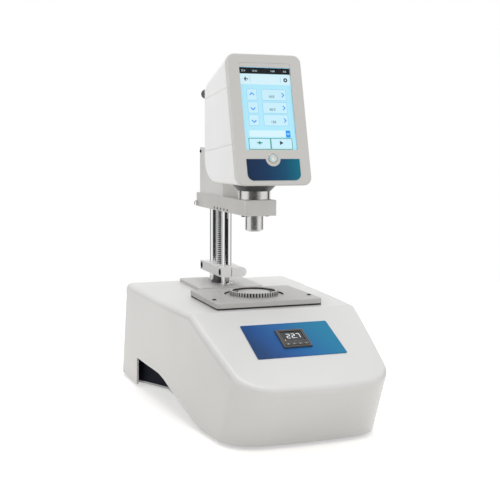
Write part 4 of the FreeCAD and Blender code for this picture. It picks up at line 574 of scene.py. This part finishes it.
faceFlat = Matrix.Translation(middle("touch_glass")) @ Matrix.Rotation(pi / 2 - tilt, 4, "X")
slopeFlat = Matrix.Translation(middle("control_panel")) @ Matrix.Rotation(slope, 4, "X")
wallLean = radians(6.85)
rearFlat = (Matrix.Translation(middle("rear_panel")) @ Matrix.Rotation(wallLean, 4, "X")
            @ Matrix.Rotation(pi, 4, "Z") @ Matrix.Rotation(pi / 2, 4, "X"))


def anyPart(part):
    return True


def facesUp(face):
    return face.normal.z > 0.9


def facesDown(face):
    return face.normal.z < -0.9


def pick(piece, mode, test):
    # opens the piece in edit mode with the faces, edges or points that pass the test selected
    bpy.context.view_layer.objects.active = piece
    bpy.ops.object.mode_set(mode="EDIT")
    bpy.ops.mesh.select_mode(type=mode)
    bpy.ops.mesh.select_all(action="DESELECT")
    bpy.ops.object.mode_set(mode="OBJECT")
    parts = {"FACE": piece.data.polygons, "EDGE": piece.data.edges, "VERT": piece.data.vertices}[mode]
    for part in parts:
        part.select = test(part)
    bpy.ops.object.mode_set(mode="EDIT")


def close():
    bpy.ops.object.mode_set(mode="OBJECT")


def fixNormals(piece):
    pick(piece, "FACE", anyPart)
    bpy.ops.mesh.normals_make_consistent(inside=False)
    close()


def plateShape(width, height, thickness, corner=0.0, centre=(0, 0, 0), bar=0.0):
    # a plate with round corners, lying in the flat frame with its back at centre; open inside a bar, if given
    bpy.ops.mesh.primitive_plane_add(size=1)
    piece = bpy.context.object
    pick(piece, "FACE", anyPart)
    bpy.ops.transform.resize(value=(width, height, 1))
    if corner:
        bpy.ops.mesh.bevel(offset=corner, offset_type="OFFSET", segments=5, affect="VERTICES")
        bpy.ops.mesh.select_all(action="SELECT")
    if bar:
        bpy.ops.mesh.inset(thickness=bar)
        bpy.ops.mesh.delete(type="FACE")
        bpy.ops.mesh.select_all(action="SELECT")
    bpy.ops.mesh.extrude_region_move(TRANSFORM_OT_translate={"value": (0, 0, thickness)})
    close()
    fixNormals(piece)
    piece.matrix_world = Matrix.Translation(centre)
    return piece


def discShape(sides, radius, thickness, centre=(0, 0, 0), turn=0.0):
    # a flat disc, or with few sides a triangle or hexagon
    bpy.ops.mesh.primitive_circle_add(vertices=sides, radius=radius, fill_type="NGON")
    piece = bpy.context.object
    pick(piece, "FACE", anyPart)
    bpy.ops.mesh.extrude_region_move(TRANSFORM_OT_translate={"value": (0, 0, thickness)})
    close()
    fixNormals(piece)
    piece.matrix_world = Matrix.Translation(centre) @ Matrix.Rotation(turn, 4, "Z")
    return piece


def applyPlace(piece):
    bpy.ops.object.select_all(action="DESELECT")
    piece.select_set(True)
    bpy.context.view_layer.objects.active = piece
    bpy.ops.object.transform_apply(location=True, rotation=True, scale=True)


def roundBar(sides, radius, length, top=0.0, x=0.0, y=0.0):
    # an upright bar that hangs down from its top
    bpy.ops.mesh.primitive_cylinder_add(vertices=sides, radius=radius, depth=length,
                                        location=(x, y, top - length / 2))
    piece = bpy.context.object
    applyPlace(piece)
    return piece


def bevelLow(piece, width):
    pick(piece, "FACE", facesDown)
    bpy.ops.mesh.bevel(offset=width, segments=2)
    close()


def stepUp(piece, test, steps):
    # each step is inset by its width and raised
    pick(piece, "FACE", test)
    for width, rise in steps:
        bpy.ops.mesh.inset(thickness=width)
        bpy.ops.transform.translate(value=(0, 0, rise))
    close()


def paint(piece, finish):
    piece.data.materials.clear()
    piece.data.materials.append(finish)
    return piece


def joined(pieces):
    for piece in pieces:
        applyPlace(piece)
    bpy.ops.object.select_all(action="DESELECT")
    for piece in pieces:
        piece.select_set(True)
    bpy.context.view_layer.objects.active = pieces[0]
    if len(pieces) > 1:
        bpy.ops.object.join()
    return pieces[0]


def settle(pieces, name, body, place=None, node=None, smoothAngle=30):
    # joins the pieces, puts them in their place and hands them to the body that carries them
    piece = joined(pieces)
    if place is not None:
        piece.matrix_world = place @ piece.matrix_world
        applyPlace(piece)
    bpy.ops.object.shade_smooth_by_angle(angle=radians(smoothAngle))
    piece.name = name
    piece.data.name = name
    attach(piece, body)
    if node:
        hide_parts(node)
    return piece


def withModifier(piece, kind, **settings):
    modifier = piece.modifiers.new(kind.lower(), kind)
    for name, value in settings.items():
        setattr(modifier, name, value)
    bpy.context.view_layer.objects.active = piece
    bpy.ops.object.modifier_apply(modifier=modifier.name)
    return piece


# What the display shows: bars, buttons and arrows, without words

page = {
    "width": 0.0914,
    "height": 0.1427,
    "shift": -0.00365,       # the picture ends lower than the glass, under a printed border
    "glassHeight": 0.15,
    "glassFace": 0.0012,
    "trimHeight": 0.00055,
    "trimOverlap": 0.0002,
    "back": -0.0012,         # the display module's front, seen from the middle of the glass
    "layer": 0.0001,
    "corner": 0.0012,
    "border": 0.0005,
    "thickBorder": 0.0012,
    "innerCorner": 0.6,      # of the corner outside
    "whole": (0.0, 1.0, 0.0, 1.0),               # left, right, top and bottom, as shares of the page
    "statusBar": (0.0, 1.0, 0.0, 0.075),
    "header": (0.0, 1.0, 0.078, 0.205),
    "leftButtons": (0.11, 0.31),
    "rightButtons": (0.4, 0.885),
    "rows": ((0.262, 0.4), (0.42, 0.557), (0.572, 0.71)),
    "slider": (0.096, 0.9, 0.765, 0.842),
    "sliderEnd": (0.81, 0.9, 0.765, 0.85),
    "lowButtons": ((0.074, 0.49), (0.505, 0.92)),
    "lowRow": (0.862, 0.992),
}
figuresOnPage = {
    "status": ((0.08, "25.0"), (0.3, "12:30"), (0.66, "0.00"), (0.9, "0.0")),
    "statusLine": 0.04,
    "statusSize": 0.0042,
    "readings": ("10.0", "60.0", "120"),
    "readingSize": 0.0062,
    "readingShift": (0.19, 0.022),               # from the button's left edge and its middle
}
signs = {
    "back": {"place": (0.1, 0.14), "reach": 0.0034},
    "backBar": {"place": (0.13, 0.14), "size": (0.006, 0.0014)},
    "wheel": {"place": (0.9, 0.145), "radius": 0.0036, "hole": 0.0014},
    "rules": {"places": ((0.2, 0.142), (0.8, 0.142)), "size": (0.0005, 0.011)},
    "raise": {"shift": -0.012, "reach": 0.0042, "turn": pi / 2},
    "lower": {"shift": 0.018, "reach": 0.0042, "turn": -pi / 2},
    "next": {"inset": 0.06, "reach": 0.0038},
    "unfold": {"place": (0.855, 0.808), "reach": 0.0026},
    "level": {"place": (0.28, 0.915), "size": (0.0105, 0.0014), "corner": 0.0004, "radius": 0.0032},
    "play": {"place": (0.7, 0.915), "radius": 0.0042},
}
arrow = {
    "length": 1.5,           # this and the next four are shares of an arrow's reach
    "width": 0.42,
    "corner": 0.15,
    "tip": 0.35,
    "out": 0.62,
    "bend": 135,             # degrees from the arrow's way to each of its bars
}
statusBlack = litScreen("statusBlack", (0.006, 0.006, 0.01), 0.0)
headerPale = litScreen("headerPale", (0.7, 0.92, 1.0))
buttonPale = litScreen("buttonPale", (0.6, 0.88, 1.0))
buttonEdge = litScreen("buttonEdge", (0.2, 0.52, 0.8))
arrowBlue = litScreen("arrowBlue", (0.015, 0.33, 0.92))
levelGreen = litScreen("levelGreen", (0.03, 0.33, 0.22))
inkDark = litScreen("inkDark", (0.02, 0.05, 0.1), 0.05)


def onPage(u, v):
    # a place on the page from shares of its width and height, from the top left corner
    return (u - 0.5) * page["width"], (0.5 - v) * page["height"] + page["shift"]


def pageBar(place, size, finish, layer, corner=0.0):
    x, y = onPage(*place)
    return paint(plateShape(*size, page["layer"] * layer, corner, (x, y, page["back"])), finish)


def pageBox(left, right, top, bottom, finish, layer=1, corner=0.0, grow=0.0):
    size = ((right - left) * page["width"] + grow, (bottom - top) * page["height"] + grow)
    return pageBar(((left + right) / 2, (top + bottom) / 2), size, finish, layer, corner)


def pageDisc(place, sides, radius, finish, layer, turn=0.0):
    x, y = onPage(*place)
    return paint(discShape(sides, radius, page["layer"] * layer, (x, y, page["back"]), turn), finish)


def pageButton(left, right, top, bottom, edge):
    inner = -2 * page["border"]
    return [pageBox(left, right, top, bottom, edge, 1, page["corner"]),
            pageBox(left, right, top, bottom, buttonPale, 2, page["corner"] * page["innerCorner"], inner)]


def chevron(u, v, reach, turn, finish):
    # two short bars that meet in a point
    x, y = onPage(u, v)
    tip = Matrix.Translation((x, y, page["back"])) @ Matrix.Rotation(turn, 4, "Z")
    tip = tip @ Matrix.Translation((reach * arrow["tip"], 0, 0))
    arms = []
    for side in (1, -1):
        size = (reach * arrow["length"], reach * arrow["width"])
        arm = plateShape(*size, page["layer"] * 4, reach * arrow["corner"])
        arm.matrix_world = (tip @ Matrix.Rotation(side * radians(arrow["bend"]), 4, "Z")
                            @ Matrix.Translation((reach * arrow["out"], 0, 0)))
        arms.append(paint(arm, finish))
    return arms


def numberOn(text, size, finish, u, v):
    # a figure in the plain built-in type
    bpy.ops.object.text_add()
    figure = bpy.context.object
    figure.data.body = text
    figure.data.size = size
    figure.data.align_x = "CENTER"
    figure.data.align_y = "CENTER"
    figure.data.resolution_u = 2
    figure.data.extrude = page["layer"] / 2
    bpy.ops.object.convert(target="MESH")
    figure = bpy.context.object
    x, y = onPage(u, v)
    figure.matrix_world = Matrix.Translation((x, y, page["back"] + 3 * page["layer"]))
    return paint(figure, finish)


def addScreenTrim():
    border = page["glassHeight"] - page["height"]
    width = page["width"] + page["trimOverlap"]
    # the trim takes the front's paint, with its painted shade
    trim = plateShape(width, border, page["trimHeight"], 0, (0, page["height"] / 2, page["glassFace"]))
    settle([paint(trim, shadedFrontPaint)], "screenTrim", "lift_carriage", faceFlat)


def headerParts():
    parts = [pageBox(*page["whole"], cyanGlow, 0.5), pageBox(*page["statusBar"], statusBlack)]
    parts.append(pageBox(*page["header"], headerPale))
    for u, text in figuresOnPage["status"]:
        parts.append(numberOn(text, figuresOnPage["statusSize"], headerPale, u, figuresOnPage["statusLine"]))
    parts += chevron(*signs["back"]["place"], signs["back"]["reach"], pi, inkDark)
    parts.append(pageBar(signs["backBar"]["place"], signs["backBar"]["size"], inkDark, 3))
    wheel = signs["wheel"]
    parts.append(pageDisc(wheel["place"], 20, wheel["radius"], inkDark, 3))
    parts.append(pageDisc(wheel["place"], 16, wheel["hole"], headerPale, 4))
    for place in signs["rules"]["places"]:
        parts.append(pageBar(place, signs["rules"]["size"], buttonEdge, 3))
    return parts


def rowParts(row):
    top, bottom = page["rows"][row]
    centre = (top + bottom) / 2
    left, right = page["leftButtons"]
    sign = signs["lower"] if row else signs["raise"]
    parts = pageButton(left, right, top, bottom, buttonEdge)
    parts += chevron((left + right) / 2, centre + sign["shift"], sign["reach"], sign["turn"], arrowBlue)
    left, right = page["rightButtons"]
    parts += pageButton(left, right, top, bottom, buttonEdge)
    parts += chevron(right - signs["next"]["inset"], centre, signs["next"]["reach"], 0, arrowBlue)
    across, down = figuresOnPage["readingShift"]
    reading, size = figuresOnPage["readings"][row], figuresOnPage["readingSize"]
    parts.append(numberOn(reading, size, inkDark, left + across, centre + down))
    return parts


def footerParts():
    parts = [pageBox(*page["slider"], headerPale, 1, page["corner"])]
    parts.append(pageBox(*page["sliderEnd"], arrowBlue, 3, page["corner"]))
    parts += chevron(*signs["unfold"]["place"], signs["unfold"]["reach"], -pi / 2, headerPale)
    for left, right in page["lowButtons"]:
        place = (left, right, *page["lowRow"])
        parts += pageButton(*place, levelGreen)
        parts.append(pageBox(*place, levelGreen, 1, page["corner"], page["thickBorder"]))
    level = signs["level"]
    parts.append(pageBar(level["place"], level["size"], levelGreen, 4, level["corner"]))
    parts.append(pageDisc(level["place"], 4, level["radius"], levelGreen, 4))
    parts.append(pageDisc(signs["play"]["place"], 3, signs["play"]["radius"], inkDark, 4, -pi / 2))
    return parts


def addScreenPage():
    parts = headerParts()
    for row in range(len(page["rows"])):
        parts += rowParts(row)
    settle(parts + footerParts(), "screenPage", "lift_carriage", faceFlat)


addScreenTrim()
addScreenPage()
print("display page made")

# Temperature controller: lit figures, keys with their marks, a thin edge

controller = {
    "bezelTop": 0.0036,      # from the middle of the panel's thickness
    "windowTop": 0.0026,
    "keyTop": 0.0044,
    "figures": "227",
    "figureHeight": 0.0125,
    "figureWidth": 0.0066,
    "figurePitch": 0.0086,
    "figureCentre": (0.0018, 0.0062),
    "segment": 0.0013,
    "segmentShare": 0.98,    # of the way to the next corner
    "pointShare": 0.55,
    "relief": 0.00012,
    "lampPlace": (-0.0155, -0.0045),
    "lampRadius": 0.0011,
    "keyPitch": 0.0104,
    "keyDrop": 0.0176,
    "markRelief": 0.00015,
    "arrowRadius": 0.0015,
    "dotRadius": 0.0013,
}
edges = {
    "relief": 0.00025,
    "outer": {"size": (0.0466, 0.0466), "bar": 0.0007, "corner": 0.001, "rise": 0.0},
    "window": {"size": (0.0398, 0.0288), "bar": 0.0006, "corner": 0.0008, "rise": 0.0055},
}
figureWhite = litScreen("figureWhite", (0.85, 0.92, 0.95), 0.4)
pointOrange = litScreen("pointOrange", (0.8, 0.4, 0.12), 0.4)
markPale = mouldedPlastic("markPale", (0.55, 0.55, 0.53), 0.45)
edgeGrey = mouldedPlastic("edgeGrey", (0.2, 0.185, 0.165), 0.35)
segmentsOf = {"0": "abcdef", "1": "bc", "2": "abged", "3": "abgcd", "4": "fgbc", "5": "afgcd", "6": "afgecd",
              "7": "abc", "8": "abcdefg", "9": "abfgcd"}


def segmentShape(x, y, length, thick, upright):
    # one bar of a lit figure: a hexagon drawn out along its length
    bar = discShape(6, thick / 2, controller["relief"])
    for side in (1, -1):
        pick(bar, "VERT", lambda vertex: vertex.co.x * side > thick / 10)
        bpy.ops.transform.translate(value=(side * (length - thick) / 2, 0, 0))
        close()
    place = Matrix.Translation((x, y, controller["windowTop"]))
    bar.matrix_world = place @ Matrix.Rotation(upright * pi / 2, 4, "Z")
    return paint(bar, figureWhite)


def windowDisc(sides, radius, x, y, finish):
    return paint(discShape(sides, radius, controller["relief"], (x, y, controller["windowTop"])), finish)


def addControllerFigures():
    thick = controller["segment"]
    wide = controller["figureWidth"] - thick
    half = (controller["figureHeight"] - thick) / 2
    places = {"a": (0, half, 0), "g": (0, 0, 0), "d": (0, -half, 0), "f": (-wide / 2, half / 2, 1),
              "b": (wide / 2, half / 2, 1), "e": (-wide / 2, -half / 2, 1), "c": (wide / 2, -half / 2, 1)}
    middleX, middleY = controller["figureCentre"]
    bars = []
    for index, figure in enumerate(controller["figures"]):
        shift = middleX + (index - 1) * controller["figurePitch"]
        for letter in segmentsOf[figure]:
            x, y, upright = places[letter]
            length = (half if upright else wide) * controller["segmentShare"]
            bars.append(segmentShape(shift + x, middleY + y, length, thick, upright))
    pointX = middleX + controller["figurePitch"] / 2
    bars.append(windowDisc(12, thick * controller["pointShare"], pointX, middleY - half, figureWhite))
    bars.append(windowDisc(16, controller["lampRadius"], *controller["lampPlace"], pointOrange))
    settle(bars, "controllerFigures", "base", slopeFlat)


def addControllerEdge():
    pieces = []
    for edge in (edges["outer"], edges["window"]):
        place = (0, edge["rise"], controller["bezelTop"])
        shape = plateShape(*edge["size"], edges["relief"], edge["corner"], place, edge["bar"])
        pieces.append(paint(shape, edgeGrey))
    settle(pieces, "controllerEdge", "base", slopeFlat)


def addKeyMarks():
    keys = (("key_set", 20, 0), ("key_left", 3, pi / 2), ("key_down", 3, pi), ("key_up", 3, 0))
    for index, (key, sides, turn) in enumerate(keys):
        x = (index - (len(keys) - 1) / 2) * controller["keyPitch"]
        place = (x, -controller["keyDrop"], controller["keyTop"])
        radius = controller["arrowRadius"] if sides == 3 else controller["dotRadius"]
        mark = paint(discShape(sides, radius, controller["markRelief"], place, turn), markPale)
        settle([mark], key + "_mark", key, slopeFlat)


addControllerFigures()
addControllerEdge()
addKeyMarks()
print("controller figures and key marks made")

# Lead screw with its thread

leadScrew = {
    "radius": 0.008,
    "root": 0.0062,
    "lead": 0.004,
    "low": 0.191,
    "steps": 24,
    # shares of the lead, with 1 where the thread is at its crest
    "profile": ((0.0, 0), (0.25, 0), (0.4, 1), (0.72, 1), (0.87, 0), (1.0, 0)),
    "spareTurns": 4,
    "startBelow": 1.5,       # leads, cut off again
    "journal": 0.005,
    "journalLap": 0.004,
    "journalEdge": 0.0006,
}


def addLeadScrew():
    low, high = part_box("lead_screw")
    lead, root, crest = leadScrew["lead"], leadScrew["root"], leadScrew["radius"]
    turns = int((high[2] - leadScrew["low"]) / lead) + leadScrew["spareTurns"]
    points = [((crest if onCrest else root), 0, share * lead) for share, onCrest in leadScrew["profile"]]
    mesh = bpy.data.meshes.new("thread")
    mesh.from_pydata(points, [(i, i + 1) for i in range(len(points) - 1)], [])
    thread = bpy.data.objects.new("thread", mesh)
    scene.collection.objects.link(thread)
    withModifier(thread, "SCREW", axis="Z", angle=2 * pi, screw_offset=lead, iterations=turns,
                 steps=leadScrew["steps"], render_steps=leadScrew["steps"], use_merge_vertices=True,
                 merge_threshold=0.00001)
    x, y = middle("lead_screw")[:2]
    thread.matrix_world = Matrix.Translation((x, y, leadScrew["low"] - leadScrew["startBelow"] * lead))
    applyPlace(thread)
    for height, clear in ((leadScrew["low"], "clear_inner"), (high[2], "clear_outer")):
        pick(thread, "FACE", anyPart)
        bpy.ops.mesh.bisect(plane_co=(0, 0, height), plane_no=(0, 0, 1), use_fill=True, **{clear: True})
        close()
    fixNormals(thread)
    top = leadScrew["low"] + leadScrew["journalLap"]
    journal = roundBar(32, leadScrew["journal"], top - low[2], top, x, y)
    bevelLow(journal, leadScrew["journalEdge"])
    settle([paint(thread, steelScrew), paint(journal, steelScrew)], "leadScrewThread", "lead_screw",
           node="lead_screw", smoothAngle=40)


addLeadScrew()
print("lead screw made")

# Socket screws: a turned head with a hexagon recess. Local Z points out of the head.

screwShape = {"socketDepth": 0.6, "domeRise": 0.7, "shankEdge": 0.0006}
buttonHead = {"headRadius": 0.003, "headHeight": 0.0016, "socket": 0.0016, "dome": 0.0006}
toLeft = Matrix.Rotation(-pi / 2, 4, "Y")
toRight = Matrix.Rotation(pi / 2, 4, "Y")
toFloor = Matrix.Rotation(pi, 4, "X")
upwards = Matrix.Identity(4)


def socketScrew(headRadius, headHeight, socket, shankRadius=0.0, shankLength=0.0, dome=0.0004):
    head = roundBar(32, headRadius, headHeight)
    stepUp(head, facesUp, [(dome, dome * screwShape["domeRise"])])
    depth = headHeight * screwShape["socketDepth"]
    key = roundBar(6, socket, depth * 2, dome + depth)
    withModifier(head, "BOOLEAN", operation="DIFFERENCE", object=key, solver="EXACT")
    bpy.data.objects.remove(key)
    parts = [head]
    if shankLength:
        shank = roundBar(24, shankRadius, shankLength, -headHeight)
        bevelLow(shank, screwShape["shankEdge"])
        parts.append(shank)
    return joined(parts)


def screwRow(size, places, turn, finish):
    # the same screw at several places, each with its own mesh
    row = [paint(socketScrew(**size), finish)]
    while len(row) < len(places):
        screw = bpy.data.objects.new(row[0].name, row[0].data.copy())
        scene.collection.objects.link(screw)
        row.append(screw)
    for screw, place in zip(row, places):
        screw.matrix_world = Matrix.Translation(place) @ turn
    return row


clampScrew = {"headShare": 1.25, "headHeight": 0.0056, "socket": 0.0036, "shank": 0.003, "proud": 0.0003}


def addClampScrews():
    low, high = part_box("clamp_screws")
    radius = (high[2] - low[2]) / 2
    x, z = low[0] - clampScrew["proud"], (low[2] + high[2]) / 2
    size = {"headRadius": radius * clampScrew["headShare"], "headHeight": clampScrew["headHeight"],
            "socket": clampScrew["socket"], "shankRadius": clampScrew["shank"],
            "shankLength": high[0] - low[0] - clampScrew["headHeight"]}
    row = screwRow(size, [(x, low[1] + radius, z), (x, high[1] - radius, z)], toLeft, blackOxide)
    settle(row, "clampCapScrews", "base", node="clamp_screws")


armFasteners = {
    "setScrew": {"headRadius": 0.0023, "headHeight": 0.0022, "socket": 0.0011, "dome": 0.0002},
    "setPlaces": (0.062, 0.081, 0.1, 0.119, 0.138),
    "setRise": 0.004,
    "setProud": 0.0003,
    "lowScrew": {"headRadius": 0.0036, "headHeight": 0.0038, "socket": 0.0018, "dome": 0.0003},
    "lowPlace": (0.022, -0.005),
    "lowDrop": 0.0018,
    "bracketInset": 0.008,
    "bracketProud": 0.0014,
}


def addArmScrews():
    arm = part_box("lift_arm")[0]
    setX, setZ = arm[0] - armFasteners["setProud"], arm[2] + armFasteners["setRise"]
    row = screwRow(armFasteners["setScrew"], [(setX, y, setZ) for y in armFasteners["setPlaces"]], toLeft,
                   blackOxide)
    lowX, lowY = armFasteners["lowPlace"]
    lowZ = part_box("arm_screws")[0][2] - armFasteners["lowDrop"]
    row += screwRow(armFasteners["lowScrew"], [(lowX, lowY, lowZ), (-lowX, lowY, lowZ)], toFloor, blackOxide)
    half, rearY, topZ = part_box("head_bracket")[1]
    bracketX = half + armFasteners["bracketProud"]
    bracketY, bracketZ = rearY - armFasteners["bracketInset"], topZ - armFasteners["bracketInset"]
    for side, turn in ((1, toRight), (-1, toLeft)):
        row += screwRow(buttonHead, [(side * bracketX, bracketY, bracketZ)], turn, blackOxide)
    settle(row, "armFasteners", "lift_carriage", node="arm_screws")


plateFasteners = {
    "stageScrew": {"headRadius": 0.0036, "headHeight": 0.001, "socket": 0.0018, "shankRadius": 0.0024,
                   "shankLength": 0.0034, "dome": 0.0003},
    "stagePlace": (0.088, -0.043),
    "panelPlace": (0.104, 0.044, 0.0024),
}


def addPlateScrews():
    stageX, stageY = plateFasteners["stagePlace"]
    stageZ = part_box("stage_plate")[1][2] + plateFasteners["stageScrew"]["headHeight"]
    stagePlaces = [(stageX, stageY, stageZ), (-stageX, stageY, stageZ)]
    row = screwRow(plateFasteners["stageScrew"], stagePlaces, upwards, blackOxide)
    panelX, panelY, panelZ = plateFasteners["panelPlace"]
    places = [(x * panelX, y * panelY, panelZ) for x in (1, -1) for y in (1, -1)]
    panelScrews = screwRow(buttonHead, places, upwards, screwSteel)
    for screw in panelScrews:
        screw.matrix_world = rearFlat @ screw.matrix_world
    settle(row + panelScrews, "plateScrews", "base", node="plate_screws")


recess = {"radius": 0.053, "wall": 0.0005, "clear": 0.0002}


def addRecessShadeBand():
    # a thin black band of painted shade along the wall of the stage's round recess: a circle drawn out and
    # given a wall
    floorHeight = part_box("plate_ring")[0][2]
    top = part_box("stage_plate")[1][2] - recess["clear"]
    bpy.ops.mesh.primitive_circle_add(vertices=96, radius=recess["radius"] - recess["wall"],
                                      fill_type="NOTHING", location=(0, 0, floorHeight))
    band = bpy.context.object
    pick(band, "EDGE", anyPart)
    bpy.ops.mesh.extrude_region_move(TRANSFORM_OT_translate={"value": (0, 0, top - floorHeight)})
    close()
    fixNormals(band)
    withModifier(band, "SOLIDIFY", thickness=recess["wall"], offset=1.0)
    fixNormals(band)
    settle([paint(band, blackRubber)], "recessShadeBand", "base")


addRecessShadeBand()
addClampScrews()
addArmScrews()
addPlateScrews()
print("screws made")

# Thumb knob with a straight knurl, and the domed push button

knob = {
    "radius": 0.0055,
    "length": 0.0052,
    "ribs": 28,
    "ribDepth": 0.00045,
    "ribGap": 0.0001,
    "dish": ((0.0009, 0.0005), (0.0014, -0.0004)),         # each step's inset and rise
    "endFace": 0.00005,      # square metres, more than any rib has
    "studRadius": 0.0025,
    "studLength": 0.008,
    "studLap": 0.0003,
    "inset": 0.0005,
}


def addThumbKnob():
    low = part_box("lock_knob")[0]
    centre = middle("lock_knob")
    head = roundBar(knob["ribs"] * 2, knob["radius"], knob["length"])
    pick(head, "FACE", lambda face: abs(face.normal.z) < 0.1 and face.index % 2 == 0)
    bpy.ops.mesh.inset(thickness=knob["ribGap"])
    bpy.ops.transform.shrink_fatten(value=-knob["ribDepth"])
    close()
    stepUp(head, lambda face: facesUp(face) and face.area > knob["endFace"], knob["dish"])
    stud = roundBar(24, knob["studRadius"], knob["studLength"], knob["studLap"] - knob["length"])
    place = Matrix.Translation((low[0] + knob["inset"], centre[1], centre[2])) @ toLeft
    settle([paint(head, chrome), paint(stud, chrome)], "thumbKnob", "lock_knob", place,
           node="lock_knob")


button = {
    "radius": 0.0063,
    "body": 0.0046,
    "rise": 0.003,
    "drop": 0.0906,          # below the middle of the glass
    "face": ((0.0005, -0.0001), (0.0009, 0.0), (0.0002, 0.0004), (0.0012, 0.0003), (0.0014, 0.0001)),
    "glow": (0.0048, 0.0056),
    "stemRadius": 0.0025,
    "stemLength": 0.0045,
    "stemMiddle": 0.0022,
}
ringGlow = litScreen("ringGlow", (0.3, 0.62, 0.8), 0.4)
buttonSteel = polishedMetal("buttonSteel", (0.62, 0.6, 0.56), 0.24)


def addPushButton():
    # a cylinder whose face is inset for the lit ring and then raised in a low dome
    cap = roundBar(48, button["radius"], button["body"])
    cap.data.materials.append(buttonSteel)
    cap.data.materials.append(ringGlow)
    stepUp(cap, facesUp, button["face"])
    glowInner, glowOuter = button["glow"]
    for face in cap.data.polygons:
        reach = Vector(face.center).xy.length
        face.material_index = int(glowInner < reach < glowOuter and facesUp(face))
    stemTop = button["stemLength"] / 2 - button["body"] - button["stemMiddle"]
    stem = paint(roundBar(24, button["stemRadius"], button["stemLength"], stemTop), buttonSteel)
    place = faceFlat @ Matrix.Translation((0, -button["drop"], button["rise"]))
    settle([cap, stem], "pushButton", "power_button", place, node="power_button",
           smoothAngle=40)


addThumbKnob()
addPushButton()
print("knob and push button made")

# Rear sockets: the pins of the mains inlet, the tongues of the data ports and the rocker's marks

rear = {
    "inlet": (-0.066, -0.01, -0.017),                      # the middle of its floor on the panel
    "pins": ((-0.007, -0.002), (0.007, -0.002), (0.0, 0.002)),
    "pin": (0.002, 0.004, 0.013),
    "pinCorner": 0.0003,
    "ports": (-0.016, 0.0),
    "portFloor": -0.007,
    "tongue": (0.009, 0.0016, 0.0075),
    "strips": 4,
    "stripPitch": 1 / 4.6,   # of the tongue's width
    "stripWidth": 1 / 9,
    "stripLength": 0.45,     # of the tongue's length
    "stripThick": 0.0002,
    "stripSink": 0.00005,
}
rockerMark = {
    "rest": 8,               # degrees that the rocker leans at rest
    "fall": 10.1,            # degrees between each half and the middle
    "out": 0.0035,
    "rise": 0.0028,
    "relief": 0.0002,
    "bar": (0.0008, 0.0028),
    "barCorner": 0.0002,
    "ring": (0.003, 0.003),
    "ringBar": 0.0006,
    "ringCorner": 0.0013,
}
contactMetal = blastedMetal("contactMetal", (0.55, 0.5, 0.4), 0.3, 1.0)
tongueWhite = mouldedPlastic("tongueWhite", (0.7, 0.7, 0.68), 0.4)


def addSocketContacts():
    parts = []
    inletX, inletY, inletFloor = rear["inlet"]
    for x, y in rear["pins"]:
        pin = plateShape(*rear["pin"], rear["pinCorner"], (inletX + x, inletY + y, inletFloor))
        parts.append(paint(pin, contactMetal))
    width, height, length = rear["tongue"]
    for x in rear["ports"]:
        parts.append(paint(plateShape(width, height, length, 0, (x, 0.0, rear["portFloor"])), tongueWhite))
        for index in range(rear["strips"]):
            shift = (index - (rear["strips"] - 1) / 2) * width * rear["stripPitch"]
            place = (x + shift, height / 2 - rear["stripSink"], rear["portFloor"] + length / 2)
            size = (width * rear["stripWidth"], rear["stripThick"], length * rear["stripLength"])
            strip = plateShape(*size, 0, place)
            parts.append(paint(strip, contactMetal))
    settle(parts, "socketContacts", "base", rearFlat)


def addRockerMarks():
    # a bar and a ring, moulded on the two halves of the rocker
    joint = [part for part in frame["record"]["behaviour"]["joints"] if part["name"] == "rocker_tilt"][0]
    atRest = Matrix.Rotation(wallLean + radians(rockerMark["rest"]), 4, "X")
    pivot = Matrix.Translation(joint["pos_m"]) @ atRest
    outwards = Matrix.Rotation(pi, 4, "Z") @ Matrix.Rotation(pi / 2, 4, "X")
    bar = plateShape(*rockerMark["bar"], rockerMark["relief"], rockerMark["barCorner"])
    ring = plateShape(*rockerMark["ring"], rockerMark["relief"], rockerMark["ringCorner"],
                      bar=rockerMark["ringBar"])
    for mark, side in ((bar, 1), (ring, -1)):
        place = Matrix.Translation((0, rockerMark["out"], side * rockerMark["rise"]))
        lean = Matrix.Rotation(-side * radians(rockerMark["fall"]), 4, "X")
        paint(mark, tongueWhite)
        mark.matrix_world = pivot @ place @ lean @ outwards
    settle([bar, ring], "rockerMarks", "mains_rocker")


addSocketContacts()
addRockerMarks()
print("rear contacts made")
